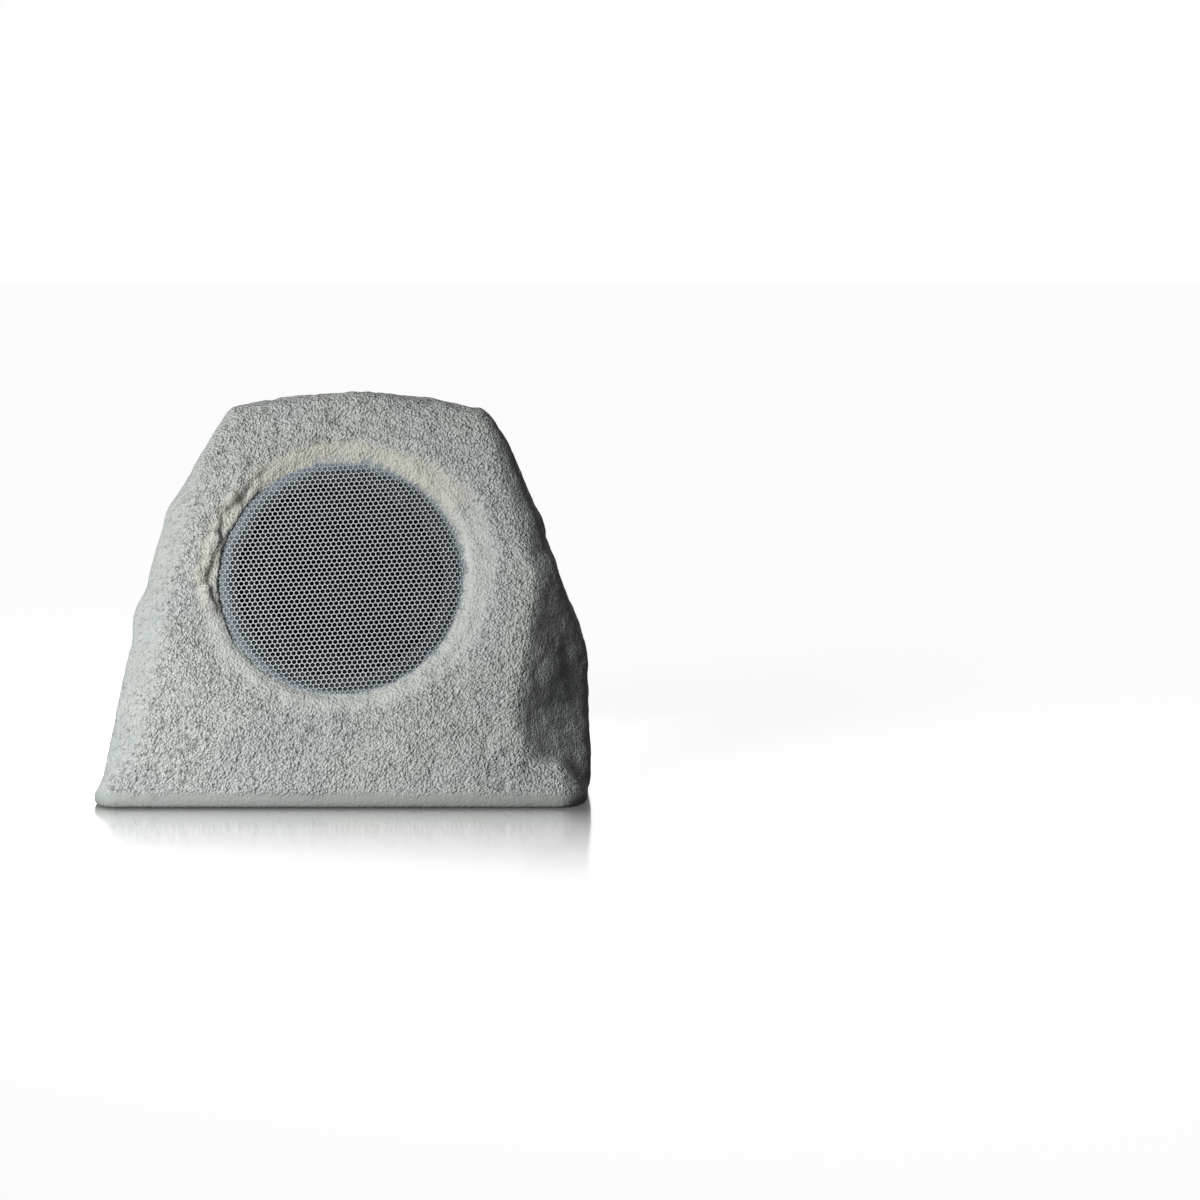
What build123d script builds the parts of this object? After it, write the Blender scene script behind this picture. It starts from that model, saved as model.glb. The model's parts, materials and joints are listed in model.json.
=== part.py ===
from build123d import *

import os
from math import cos, hypot, radians, sin, sqrt, tan

# Rock shaped garden speaker: a hollow stone-look shell with a full-range driver behind a
# perforated steel grille, a base plate that carries the amplifier and the battery, and a
# control panel let into the back. Millimetres, +Z up, the front faces -Y, and the origin
# is on the ground under the middle of the base.

# Rock outside
rock_width = 252.0
rock_depth = 220.0
rock_height = 204.5  # to the point where the top facets meet, before rounding
apex_x = 6.0
apex_y = -3.0
edge_round = 9.0
wall = 4.5
lip_height = 7.0
lip_chamfer = 1.5
lip_corner = 14.0
flare_height = 14.0
flare_inset = 12.0

# Sides of the lip and of the rock above it, going round from the front left corner.
# Azimuth 0 is the right side and 90 the back. A cut is set back from the corner of the
# base's box, and each slope of the rock is (from height, lean in degrees).
face_lean = 27.2
face_cut = -2.6
back_lean = 17.0
back_cut = 1.0
lip_cut_front_left = 6.0
lip_cut_front_right = 7.0
lip_cut_back_right = 22.0
lip_cut_back_left = 20.0
cut_front_left = 10.0
cut_front_right = 31.0
cut_right = 7.0
cut_back_right = 30.0
cut_back_left = 24.0
cut_left = 0.5
break_front_right = 112.0
break_right = 70.0
break_right_top = 176.0
break_back_right = 110.0
break_back = 150.0
break_back_left = 110.0
break_left = 96.0
break_left_top = 139.0
lip_sides = (
    (-135, lip_cut_front_left),
    (-90, 0),
    (-42, lip_cut_front_right),
    (0, 0),
    (48, lip_cut_back_right),
    (90, 0),
    (140, lip_cut_back_left),
    (180, 0),
)
corner_side = -40
rock_sides = (
    (-135, cut_front_left, ((0, 27),)),
    (-90, face_cut, ((0, face_lean),)),
    (corner_side, cut_front_right, ((0, 12), (break_front_right, 31))),
    (3, cut_right, ((0, 0.5), (break_right, 20.7), (break_right_top, 34))),
    (48, cut_back_right, ((0, 18), (break_back_right, 31))),
    (90, back_cut, ((0, back_lean), (break_back, 38))),
    (140, cut_back_left, ((0, 19), (break_back_left, 33))),
    (180, cut_left, ((0, 10.2), (break_left, 16), (break_left_top, 29.5))),
)
corner_flare_cut = 16.2
corner_flare_lean = 28.5
corner_flare_gap = 0.3  # how far the flare's other sides stay inside the rock
rock_tops = ((190, 7.5), (15, 9.5), (95, 18))  # azimuth, fall in degrees

# Worn patches on the rock: azimuth of the side, place along it, height, length along the
# side, width up it, and how far the patch swells out of the side or is worn into it
patch_root = 0.5
patch_crown = 0.4
swells = (
    (-135, -24, 64, 9, 34, 1.4),
    (-90, -64, 34, 34, 20, 1.8),
    (-90, 26, 30, 34, 18, 1.6),
    (-90, -56, 168, 12, 14, 1.5),
    (-90, 56, 166, 14, 14, 1.5),
    (corner_side, 21, 66, 22, 30, 1.6),
    (3, 34, 40, 34, 26, 2.0),
    (3, -12, 132, 22, 20, 2.0),
    (48, -24, 72, 26, 34, 2.2),
    (90, 50, 110, 30, 26, 2.2),
    (90, 4, 122, 34, 22, 1.8),
    (90, -66, 60, 12, 30, 1.4),
    (140, 9, 62, 26, 34, 2.0),
    (180, 26, 72, 34, 24, 2.0),
    (180, -26, 56, 36, 30, 1.8),
    (180, 4, 154, 14, 16, 1.4),
)
hollows = (
    (-90, -20, 30, 30, 16, 1.4),
    (-90, 68, 34, 26, 18, 1.4),
    (-90, 2, 188, 30, 8, 1.4),
    (3, -20, 44, 28, 24, 1.6),
    (3, 10, 96, 30, 22, 1.8),
    (48, -28, 36, 24, 16, 1.5),
    (48, -26, 146, 30, 30, 2.0),
    (90, -50, 116, 34, 24, 1.8),
    (90, 72, 56, 18, 30, 1.5),
    (90, 6, 170, 34, 22, 1.6),
    (140, 17, 146, 30, 30, 1.8),
    (180, 46, 36, 26, 18, 1.5),
    (180, 8, 114, 32, 20, 1.6),
)

# Base plate in its pocket, seal, shelf and screw posts
plate_recess = 2.0
plate_thickness = 3.0
plate_clearance = 0.4
rim_wall = 4.5
seal_thickness = 1.5
shelf_thickness = 3.0
shelf_width = 10.0
post_inset = 16.0
post_diameter = 10.0
post_height = 14.0
post_front_left = 84.0
post_front_right = 66.0
post_back = 62.0
post_places = (  # azimuth of the side, place along it
    (-90, -post_front_left),
    (-90, post_front_right),
    (90, -post_back),
    (90, post_back),
)
plate_rib_height = 4.0
plate_rib_thickness = 2.0
plate_rib_inset = 28.0

# Screws, with plain many-sided heads and shanks, and holes to match
screw_clearance = 0.1
head_sides = 8
shank_sides = 8
hex_sides = 6
base_screw_diameter = 3.0
base_screw_length = 12.0
base_head_diameter = 6.6
base_head_height = 1.6
driver_screw_diameter = 3.0
driver_screw_length = 9.0
driver_head_diameter = 6.0
driver_head_height = 2.2
panel_screw_diameter = 2.2
panel_screw_length = 8.0
panel_head_diameter = 4.4
panel_head_height = 1.4

# Grille, mortar bead and baffle collar, on the leaning front face
grille_side = -2.5
grille_height = 112.7
grille_diameter = 138.0
grille_thickness = 1.0
grille_clearance = 0.3
seat_depth = 6.0
open_diameter = 106.0
hole_pitch = 10.0
hole_across = 3.0
hole_margin = 1.6
bead_width = 4.0
bead_cover = 3.5
bead_gap = 0.1
collar_diameter = 162.0
collar_thickness = 10.0
cut_beyond = 10.0  # how far a cut runs past the face it opens

# Driver: distances along its axis and radii from it
flange_thickness = 1.5
flange_margin = 6.0
screw_margin = 8.5
driver_screw_count = 4
driver_screw_turn = 45.0
basket_depth = 32.5
basket_ring_radius = 42.0
basket_ring_thickness = 1.5
spider_seat_radius = 36.0
spider_seat_height = 7.0
arm_width = 13.0
arm_thickness = 3.5
arm_inset = 1.0
arm_turns = (0, 90, 180, 270)
rim_thickness = 1.5
roll_clearance = 1.5
roll_width = 9.0
roll_height = 4.0
roll_slope = 2.0
glue_width = 3.5
cone_edge_gap = 0.2
cone_thickness = 0.8
cone_depth = 17.5
cap_radius = 16.0
cap_rise = 5.5
coil_radius = 12.1
former_thickness = 0.5
former_length = 25.0
winding_thickness = 0.8
winding_length = 11.0
coil_gap = 0.7
spider_thickness = 0.6
spider_margin = 1.5
moving_gap = 0.3
front_plate_radius = 36.0
front_plate_thickness = 5.0
magnet_radius = 41.0
magnet_bore = 20.0
magnet_height = 15.0
yoke_thickness = 5.0
terminal_width = 16.0
terminal_length = 14.0
terminal_thickness = 1.6
terminal_lap = 5.0

# Amplifier and battery on the base plate
board_x = -38.0
board_y = 5.0
board_length = 82.0
board_width = 58.0
board_thickness = 1.6
stand_height = 8.0
stand_size = 6.0
stake_size = 2.0
stake_height = 1.4
stake_clearance = 0.2
stake_inset = 5.0
sink_length = 44.0
sink_width = 20.0
sink_height = 18.0
sink_base = 3.0
fin_thickness = 1.6
fin_count = 6
capacitor_diameter = 10.0
capacitor_height = 16.0
capacitor_sides = 12
capacitor_place = 22.0
connector_size = 8.0
connector_pitch = 12.0
connector_height = 8.0
cell_diameter = 18.4
cell_length = 66.0
cell_pitch = 18.8
cell_lift = 1.5
cell_x = 54.0
cell_y = -10.0
cradle_thickness = 3.0
cradle_height = 8.0
cradle_clearance = 0.3
cradle_spread = 44.0
strap_width = 12.0
strap_thickness = 1.6
strap_foot = 9.0
strap_gap = 0.2

# Control panel in the back
panel_height = 62.0
panel_length = 104.0
panel_width = 44.0
panel_corner = 8.0
panel_thickness = 2.5
panel_sink = 0.6
panel_clearance = 0.3
panel_seal_thickness = 0.8
panel_lap = 6.0
frame_margin = 6.0
frame_depth = 12.0
panel_screw_inset = 3.2
tray_depth = 6.0
tray_wall = 1.6
board_gap = 10.0
control_board_margin = 1.1

# Buttons, status light, charge socket and its cover
button_space = 4.0
button_width = 9.0
button_corner = 1.5
button_proud = 1.4
button_clearance = 0.3
button_lap = 1.5
button_flange = 1.2
button_gap = 0.1
button_stem = 3.0
button_entry = 0.5
button_inset = 16.5
switch_size = 6.0
switch_height = 4.0
switch_well = 2.0
lens_space = 11.5
lens_length = 2.4
lens_width = 5.0
lens_lap = 1.0
lens_clearance = 0.1
socket_inset = 16.0
socket_space = 12.0
socket_diameter = 8.0
socket_bore = 6.0
socket_depth = 9.0
socket_body = 11.0
socket_clearance = 0.2
charge_pin_diameter = 2.0
charge_pin_sunk = 1.0
cover_length = 14.0
cover_drop = 17.0
cover_rise = 8.0
cover_thickness = 2.0
cover_gap = 0.3
barrel_diameter = 2.8
hinge_pin_diameter = 1.5
hinge_clearance = 0.06
pin_clearance = 0.02
lug_thickness = 2.0
lug_size = 3.6

# Flat leads
lead_thickness = 1.2
lead_width = 5.0
lead_rise = 12.0
lead_drop = 14.0
control_lead_inset = 9.0

os.makedirs("parts", exist_ok=True)


def outward(azimuth, rise):
    flat = cos(radians(rise))
    return Vector(flat * cos(radians(azimuth)), flat * sin(radians(azimuth)), sin(radians(rise)))


def box_reach(azimuth):
    across = rock_width / 2 * abs(cos(radians(azimuth)))
    along = rock_depth / 2 * abs(sin(radians(azimuth)))
    return across + along


def side_slopes(azimuth, cut, slopes):
    reach = box_reach(azimuth) - cut
    height_below, lean_below = 0, 0
    runs = []
    for height, lean in slopes:
        reach -= (height - height_below) * tan(radians(lean_below))
        runs.append((height, reach, lean))
        height_below, lean_below = height, lean
    return runs


def facet_planes(inset, sides):
    planes = []
    for azimuth, cut, slopes in sides:
        for height, reach, lean in side_slopes(azimuth, cut, slopes):
            normal = outward(azimuth, lean)
            point = outward(azimuth, 0) * reach + Vector(0, 0, height)
            planes.append(Plane(origin=point - normal * inset, z_dir=normal))
    for azimuth, fall in rock_tops:
        normal = outward(azimuth, 90 - fall)
        planes.append(Plane(origin=Vector(apex_x, apex_y, rock_height) - normal * inset, z_dir=normal))
    return planes


def carved_rock(inset, floor, sides=rock_sides):
    with BuildPart() as block:
        with Locations((0, 0, floor)):
            Box(
                2 * rock_width,
                2 * rock_depth,
                2 * rock_height,
                align=(Align.CENTER, Align.CENTER, Align.MIN),
            )
        for plane in facet_planes(inset, sides):
            split(bisect_by=plane, keep=Keep.BOTTOM)
    return block.part


def worn_patch(turn, azimuth, along, height, length, width, rise):
    side = next(side for side in rock_sides if side[0] == azimuth)
    start, reach, lean = [run for run in side_slopes(*side) if run[0] <= height][-1]
    way = outward(azimuth, lean) * turn
    across = outward(azimuth + 90, 0)
    point = outward(azimuth, 0) * (reach - (height - start) * tan(radians(lean)))
    point += across * along + Vector(0, 0, height) - way * patch_root
    spread = 1 + (1 - patch_crown) * patch_root / rise
    root_length, root_width = length * spread, width * spread
    side_step = (root_length - length * patch_crown) / 2
    up_step = (root_width - width * patch_crown) / 2
    with BuildPart(Plane(origin=point, x_dir=across, z_dir=across.cross(way))) as patch:
        Wedge(
            root_length,
            rise + patch_root,
            root_width,
            side_step,
            up_step,
            root_length - side_step,
            root_width - up_step,
            align=(Align.CENTER, Align.MIN, Align.CENTER),
        )
    return patch.part


def lip_corners():
    lines = [(azimuth, box_reach(azimuth) - cut) for azimuth, cut in lip_sides]
    corners = []
    for (first, reach_first), (second, reach_second) in zip(lines, lines[1:] + lines[:1]):
        turn = sin(radians(second - first))
        x = (reach_first * sin(radians(second)) - reach_second * sin(radians(first))) / turn
        y = (reach_second * cos(radians(first)) - reach_first * cos(radians(second))) / turn
        corners.append((x, y))
    return corners


def lip_outline(height, inset):
    with BuildSketch(Plane.XY.offset(height)) as outline:
        Polygon(*lip_corners(), align=None)
        fillet(outline.vertices(), lip_corner)
        if inset:
            offset(amount=-inset, mode=Mode.REPLACE)
    return outline.sketch


def lip_point(azimuth, along, inset):
    reach = box_reach(azimuth) - dict(lip_sides)[azimuth] - inset
    return outward(azimuth, 0) * reach + outward(azimuth + 90, 0) * along


def screw_hole(diameter, clearance, mode=Mode.ADD):
    RegularPolygon(diameter / 2 + clearance, shank_sides, major_radius=False, mode=mode)


# Levels of the base
plate_top = plate_recess + plate_thickness
shelf_bottom = plate_top + seal_thickness
shelf_top = shelf_bottom + shelf_thickness
shelf_inset = rim_wall + shelf_width
plate_inset = rim_wall + plate_clearance
post_points = [lip_point(azimuth, along, post_inset) for azimuth, along in post_places]

# The leaning front face, with the driver's axis through the middle of the grille
face_normal = outward(-90, face_lean)
face_y = grille_height * tan(radians(face_lean)) - (rock_depth / 2 - face_cut)
face_middle = Vector(grille_side, face_y, grille_height)
face_plane = Plane(origin=face_middle, x_dir=(1, 0, 0), z_dir=face_normal)
turning_plane = Plane(origin=face_middle, x_dir=(1, 0, 0), z_dir=Vector(1, 0, 0).cross(face_normal))
driver_axis = Axis(face_middle, face_normal)

# Levels along the driver's axis, measured out from the face
ledge_level = grille_thickness - seat_depth
collar_level = -seat_depth - collar_thickness
flange_level = collar_level - rim_thickness
flange_back = flange_level - flange_thickness
basket_back = flange_back - basket_depth
basket_floor = basket_back + basket_ring_thickness
spider_seat = basket_back + spider_seat_height
front_plate_back = basket_back - front_plate_thickness
magnet_back = front_plate_back - magnet_height
yoke_back = magnet_back - yoke_thickness
cone_level = flange_level + moving_gap - cone_edge_gap
former_radius = coil_radius + former_thickness
winding_radius = former_radius + winding_thickness
gap_radius = winding_radius + coil_gap
pole_radius = coil_radius - coil_gap
roll_outer = open_diameter / 2 - roll_clearance
roll_inner = roll_outer - roll_width
screw_circle = roll_outer + screw_margin
flange_radius = screw_circle + flange_margin
pocket_radius = grille_diameter / 2 + bead_width
bead_radius = grille_diameter / 2 - bead_cover

# The back facet, with the control panel's middle
back_normal = outward(90, back_lean)
back_y = rock_depth / 2 - back_cut - panel_height * tan(radians(back_lean))
back_plane = Plane(origin=(0, back_y, panel_height), x_dir=(-1, 0, 0), z_dir=back_normal)

# Levels along the panel's normal, measured out from the back facet
panel_face = -panel_sink
panel_back = panel_face - panel_thickness
panel_seat = panel_back - panel_seal_thickness
control_level = panel_back - board_gap
switch_level = control_level + switch_height
button_names = ("power_button", "link_button", "volume_down_button", "volume_up_button")
socket_place = panel_length / 2 - socket_inset
lens_place = socket_place - socket_space
button_first = button_inset - panel_length / 2
button_pitch = (lens_place - lens_space - button_first) / (len(button_names) - 1)
button_length = button_pitch - button_space
button_places = [button_first + button_pitch * index for index in range(len(button_names))]
panel_screw_x = panel_length / 2 - panel_screw_inset
opening_length = panel_length - 2 * panel_lap
opening_width = panel_width - 2 * panel_lap
tray_length = opening_length - 2 * panel_clearance
tray_width = opening_width - 2 * panel_clearance
control_board_length = tray_length - 2 * (tray_wall + control_board_margin)
control_board_width = tray_width - 2 * (tray_wall + control_board_margin)

# Shell: rounded facets, lip with its flare, and everything moulded inside
rock_core = carved_rock(edge_round, edge_round)
rock_hollow = carved_rock(wall, shelf_top)

# The front right corner flares out again above the lip
flare_sides = [side for side in rock_sides if side[0] != corner_side]
flare_sides.append((corner_side, corner_flare_cut, ((0, corner_flare_lean),)))

with BuildPart() as corner_flare:
    add(carved_rock(edge_round + corner_flare_gap, edge_round, flare_sides))
    offset(amount=edge_round, kind=Kind.ARC)

with BuildPart() as rock_body:
    add(rock_core)
    offset(amount=edge_round, kind=Kind.ARC)
    add(corner_flare.part)
    add([worn_patch(1, *patch) for patch in swells])
    add([worn_patch(-1, *patch) for patch in hollows], mode=Mode.SUBTRACT)

with BuildPart() as lip:
    add(lip_outline(0, 0))
    extrude(amount=lip_height)
    chamfer(lip.faces().sort_by(Axis.Z)[0].edges(), lip_chamfer)
    add(lip_outline(lip_height, 0))
    add(lip_outline(lip_height + flare_height, flare_inset))
    loft(ruled=True)

with BuildPart() as inner_posts:
    with BuildSketch(Plane.XY.offset(shelf_bottom)):
        with Locations(*post_points):
            RegularPolygon(post_diameter / 2, shank_sides)
    extrude(amount=post_height)
    with BuildSketch(face_plane.offset(collar_level)):
        Circle(collar_diameter / 2)
    extrude(amount=collar_thickness + seat_depth - wall / 2)
    with BuildSketch(back_plane.offset(-frame_depth)):
        Rectangle(panel_length + 2 * frame_margin, panel_width + 2 * frame_margin)
    extrude(amount=frame_depth - wall / 2)

with BuildPart() as rock_shell:
    add(rock_body.part)
    add(lip.part)
    add(rock_hollow, mode=Mode.SUBTRACT)
    add(lip_outline(0, rim_wall))
    extrude(amount=shelf_bottom, mode=Mode.SUBTRACT)
    add(lip_outline(shelf_bottom, shelf_inset))
    extrude(amount=shelf_thickness, mode=Mode.SUBTRACT)
    add(inner_posts.part)
    with BuildSketch(Plane.XY.offset(shelf_bottom)):
        with Locations(*post_points):
            screw_hole(base_screw_diameter, screw_clearance)
    extrude(amount=base_screw_length, mode=Mode.SUBTRACT)
    with BuildSketch(turning_plane):
        with BuildLine():
            Polyline(
                (0, cut_beyond),
                (pocket_radius, cut_beyond),
                (pocket_radius, ledge_level),
                (grille_diameter / 2 + grille_clearance, ledge_level),
                (grille_diameter / 2 + grille_clearance, -seat_depth),
                (open_diameter / 2, -seat_depth),
                (open_diameter / 2, collar_level - cut_beyond),
                (0, collar_level - cut_beyond),
                close=True,
            )
        make_face()
    revolve(axis=driver_axis, mode=Mode.SUBTRACT)
    with BuildSketch(face_plane.offset(collar_level)):
        with PolarLocations(screw_circle, driver_screw_count, start_angle=driver_screw_turn):
            screw_hole(driver_screw_diameter, screw_clearance)
    extrude(amount=driver_screw_length - rim_thickness, mode=Mode.SUBTRACT)
    with BuildSketch(back_plane.offset(panel_seat)):
        RectangleRounded(
            panel_length + 2 * panel_clearance,
            panel_width + 2 * panel_clearance,
            panel_corner + panel_clearance,
        )
    extrude(amount=frame_depth, mode=Mode.SUBTRACT)
    with BuildSketch(back_plane):
        Rectangle(opening_length, opening_width)
    extrude(amount=-frame_depth - cut_beyond, mode=Mode.SUBTRACT)
    with BuildSketch(back_plane.offset(panel_seat)):
        with GridLocations(2 * panel_screw_x, 0, 2, 1):
            screw_hole(panel_screw_diameter, screw_clearance)
    extrude(amount=-panel_screw_length, mode=Mode.SUBTRACT)

rock_shell.part.label = "rock_shell"
export_step(rock_shell.part, "parts/rock_shell.step")

# Seal, base plate and screws
with BuildPart() as base_seal:
    add(lip_outline(plate_top, plate_inset))
    extrude(amount=seal_thickness)
    add(lip_outline(plate_top, shelf_inset))
    extrude(amount=seal_thickness, mode=Mode.SUBTRACT)

base_seal.part.label = "base_seal"
export_step(base_seal.part, "parts/base_seal.step")

board_level = plate_top + stand_height
board_top = board_level + board_thickness
stake_x = board_length / 2 - stake_inset
stake_y = board_width / 2 - stake_inset
stake_hole = stake_size + 2 * stake_clearance
cell_level = plate_top + cell_lift + cell_diameter / 2
strap_reach = cell_pitch / 2 + cell_diameter / 2 + strap_gap
strap_top = cell_level + cell_diameter / 2 + strap_gap + strap_thickness
strap_foot_y = strap_reach + strap_thickness + strap_foot / 2

with BuildPart() as base_plate:
    add(lip_outline(plate_recess, plate_inset))
    extrude(amount=plate_thickness)
    add(lip_outline(plate_top, plate_rib_inset))
    extrude(amount=plate_rib_height)
    add(lip_outline(plate_top, plate_rib_inset + plate_rib_thickness))
    extrude(amount=plate_rib_height, mode=Mode.SUBTRACT)
    with BuildSketch(Plane.XY.offset(plate_top)):
        with Locations((board_x, board_y)):
            with GridLocations(2 * stake_x, 2 * stake_y, 2, 2):
                Rectangle(stand_size, stand_size)
    extrude(amount=stand_height)
    with BuildSketch(Plane.XY.offset(board_level)):
        with Locations((board_x, board_y)):
            with GridLocations(2 * stake_x, 2 * stake_y, 2, 2):
                Rectangle(stake_size, stake_size)
    extrude(amount=board_thickness + stake_height)
    with BuildSketch(Plane.XY.offset(plate_top)):
        with Locations((cell_x, cell_y)):
            with GridLocations(0, 2 * strap_foot_y, 1, 2):
                Rectangle(stake_size, stake_size)
    extrude(amount=strap_thickness + stake_height)
    for side in (-1, 1):
        with BuildSketch(Plane.YZ.offset(cell_x + side * cradle_spread / 2)):
            with Locations((cell_y, plate_top)):
                Rectangle(2 * cell_pitch, cradle_height, align=(Align.CENTER, Align.MIN))
            with Locations((cell_y, cell_level)):
                SlotCenterToCenter(cell_pitch, cell_diameter + 2 * cradle_clearance, mode=Mode.SUBTRACT)
        extrude(amount=cradle_thickness / 2, both=True)
    with BuildSketch(Plane.XY.offset(plate_recess)):
        with Locations(*post_points):
            screw_hole(base_screw_diameter, plate_clearance)
    extrude(amount=plate_thickness, mode=Mode.SUBTRACT)

base_plate.part.label = "base_plate"
export_step(base_plate.part, "parts/base_plate.step")

with BuildPart() as base_screws:
    with BuildSketch(Plane.XY.offset(plate_recess)):
        with Locations(*post_points):
            RegularPolygon(base_head_diameter / 2, head_sides)
    extrude(amount=-base_head_height)
    with BuildSketch(Plane.XY.offset(plate_recess)):
        with Locations(*post_points):
            RegularPolygon(base_screw_diameter / 2, shank_sides)
    extrude(amount=base_screw_length)

base_screws.part.label = "base_screws"
export_step(base_screws.part, "parts/base_screws.step")

# Grille: round sheet with a hexagonal lattice of holes over the open middle
hole_reach = open_diameter / 2 - hole_across / 2 - hole_margin
row_pitch = hole_pitch * sqrt(3) / 2
row_count = int(hole_reach / row_pitch)
column_count = int(hole_reach / hole_pitch) + 1
lattice = [
    (hole_pitch * (column + row % 2 / 2), row_pitch * row)
    for row in range(-row_count, row_count + 1)
    for column in range(-column_count, column_count + 1)
]
hole_places = [(x, y) for x, y in lattice if hypot(x, y) <= hole_reach]

with BuildPart() as grille:
    with BuildSketch(face_plane.offset(-seat_depth)):
        Circle(grille_diameter / 2)
        with Locations(*hole_places):
            RegularPolygon(hole_across / 2, hex_sides, major_radius=False, mode=Mode.SUBTRACT)
    extrude(amount=grille_thickness)

grille.part.label = "grille"
export_step(grille.part, "parts/grille.step")

with BuildPart() as grille_bead:
    with BuildSketch(turning_plane):
        with BuildLine():
            Polyline(
                (bead_radius, ledge_level),
                (pocket_radius - bead_gap, ledge_level),
                (pocket_radius - bead_gap, 0),
                close=True,
            )
        make_face()
    revolve(axis=driver_axis)

grille_bead.part.label = "grille_bead"
export_step(grille_bead.part, "parts/grille_bead.step")

# Driver frame: flange, arms, and a rear ring with the spider's seat
with BuildPart() as driver_basket:
    with BuildSketch(turning_plane):
        with BuildLine():
            Polyline(
                (roll_outer, flange_level),
                (flange_radius, flange_level),
                (flange_radius, flange_back),
                (roll_outer, flange_back),
                close=True,
            )
        make_face()
        with BuildLine():
            Polyline(
                (gap_radius, basket_back),
                (basket_ring_radius, basket_back),
                (basket_ring_radius, spider_seat),
                (spider_seat_radius, spider_seat),
                (spider_seat_radius, basket_floor),
                (gap_radius, basket_floor),
                close=True,
            )
        make_face()
    revolve(axis=driver_axis)
    with BuildSketch(turning_plane) as arm_section:
        with BuildLine():
            Polyline(
                (roll_outer + arm_inset, flange_back),
                (roll_outer + arm_inset + arm_thickness, flange_back),
                (basket_ring_radius + arm_thickness, basket_back),
                (basket_ring_radius - arm_inset, basket_back),
                (basket_ring_radius - arm_inset, spider_seat),
                (basket_ring_radius, spider_seat),
                close=True,
            )
        make_face()
    arm = extrude(arm_section.sketch, amount=arm_width / 2, both=True, mode=Mode.PRIVATE)
    for turn in arm_turns:
        add(arm.rotate(driver_axis, turn))
    with BuildSketch(face_plane.offset(flange_back)):
        with PolarLocations(screw_circle, driver_screw_count, start_angle=driver_screw_turn):
            screw_hole(driver_screw_diameter, plate_clearance)
    extrude(amount=flange_thickness, mode=Mode.SUBTRACT)

driver_basket.part.label = "driver_basket"
export_step(driver_basket.part, "parts/driver_basket.step")

with BuildPart() as driver_screws:
    with BuildSketch(face_plane.offset(flange_back)):
        with PolarLocations(screw_circle, driver_screw_count, start_angle=driver_screw_turn):
            RegularPolygon(driver_screw_diameter / 2, shank_sides)
    extrude(amount=driver_screw_length)
    with BuildSketch(face_plane.offset(flange_back)):
        with PolarLocations(screw_circle, driver_screw_count, start_angle=driver_screw_turn):
            RegularPolygon(driver_head_diameter / 2, hex_sides)
    extrude(amount=-driver_head_height)

driver_screws.part.label = "driver_screws"
export_step(driver_screws.part, "parts/driver_screws.step")

# Foam surround with its roll, whose rim also seals the flange against the collar
with BuildPart() as surround:
    with BuildSketch(turning_plane):
        with BuildLine():
            Polyline(
                (flange_radius, flange_level),
                (flange_radius, collar_level),
                (roll_outer, collar_level),
                (roll_outer - roll_slope, collar_level + roll_height),
                (roll_inner + roll_slope, collar_level + roll_height),
                (roll_inner, collar_level),
                (roll_inner - glue_width, collar_level),
                (roll_inner - glue_width, flange_level + moving_gap),
                (roll_outer - roll_slope, flange_level + moving_gap),
                (roll_outer, flange_level),
                close=True,
            )
        make_face()
    revolve(axis=driver_axis)
    with BuildSketch(face_plane.offset(flange_level)):
        with PolarLocations(screw_circle, driver_screw_count, start_angle=driver_screw_turn):
            screw_hole(driver_screw_diameter, plate_clearance)
    extrude(amount=rim_thickness, mode=Mode.SUBTRACT)

surround.part.label = "surround"
export_step(surround.part, "parts/surround.step")

# Cone moulded in one piece with its cap, and the coil behind it
cap_slope = cap_rise / cap_radius
cone_bottom = cone_level - cone_depth
former_top = cone_bottom - cone_thickness + cap_slope * (cap_radius - former_radius) - cone_edge_gap

with BuildPart() as cone:
    with BuildSketch(turning_plane):
        with BuildLine():
            Polyline(
                (roll_inner, cone_level),
                (roll_inner - glue_width, cone_level),
                (cap_radius, cone_bottom),
                (0, cone_bottom + cap_rise),
                (0, cone_bottom + cap_rise - cone_thickness),
                (cap_radius, cone_bottom - cone_thickness),
                (roll_inner - glue_width, cone_level - cone_thickness),
                (roll_inner, cone_level - cone_thickness),
                close=True,
            )
        make_face()
    revolve(axis=driver_axis)

cone.part.label = "cone"
export_step(cone.part, "parts/cone.step")

with BuildPart() as coil_former:
    with BuildSketch(face_plane.offset(former_top)):
        Circle(former_radius)
        Circle(coil_radius, mode=Mode.SUBTRACT)
    extrude(amount=-former_length)

coil_former.part.label = "coil_former"
export_step(coil_former.part, "parts/coil_former.step")

with BuildPart() as coil_winding:
    with BuildSketch(face_plane.offset(former_top - former_length)):
        Circle(winding_radius)
        Circle(former_radius, mode=Mode.SUBTRACT)
    extrude(amount=winding_length)

coil_winding.part.label = "coil_winding"
export_step(coil_winding.part, "parts/coil_winding.step")

with BuildPart() as spider:
    with BuildSketch(face_plane.offset(spider_seat)):
        Circle(basket_ring_radius - spider_margin)
        Circle(former_radius + moving_gap, mode=Mode.SUBTRACT)
    extrude(amount=spider_thickness)

spider.part.label = "spider"
export_step(spider.part, "parts/spider.step")

# Motor: front plate, ferrite ring, and the yoke with its pole
with BuildPart() as front_plate:
    with BuildSketch(face_plane.offset(basket_back)):
        Circle(front_plate_radius)
        Circle(gap_radius, mode=Mode.SUBTRACT)
    extrude(amount=-front_plate_thickness)

front_plate.part.label = "front_plate"
export_step(front_plate.part, "parts/front_plate.step")

with BuildPart() as magnet:
    with BuildSketch(face_plane.offset(front_plate_back)):
        Circle(magnet_radius)
        Circle(magnet_bore, mode=Mode.SUBTRACT)
    extrude(amount=-magnet_height)

magnet.part.label = "magnet"
export_step(magnet.part, "parts/magnet.step")

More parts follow.
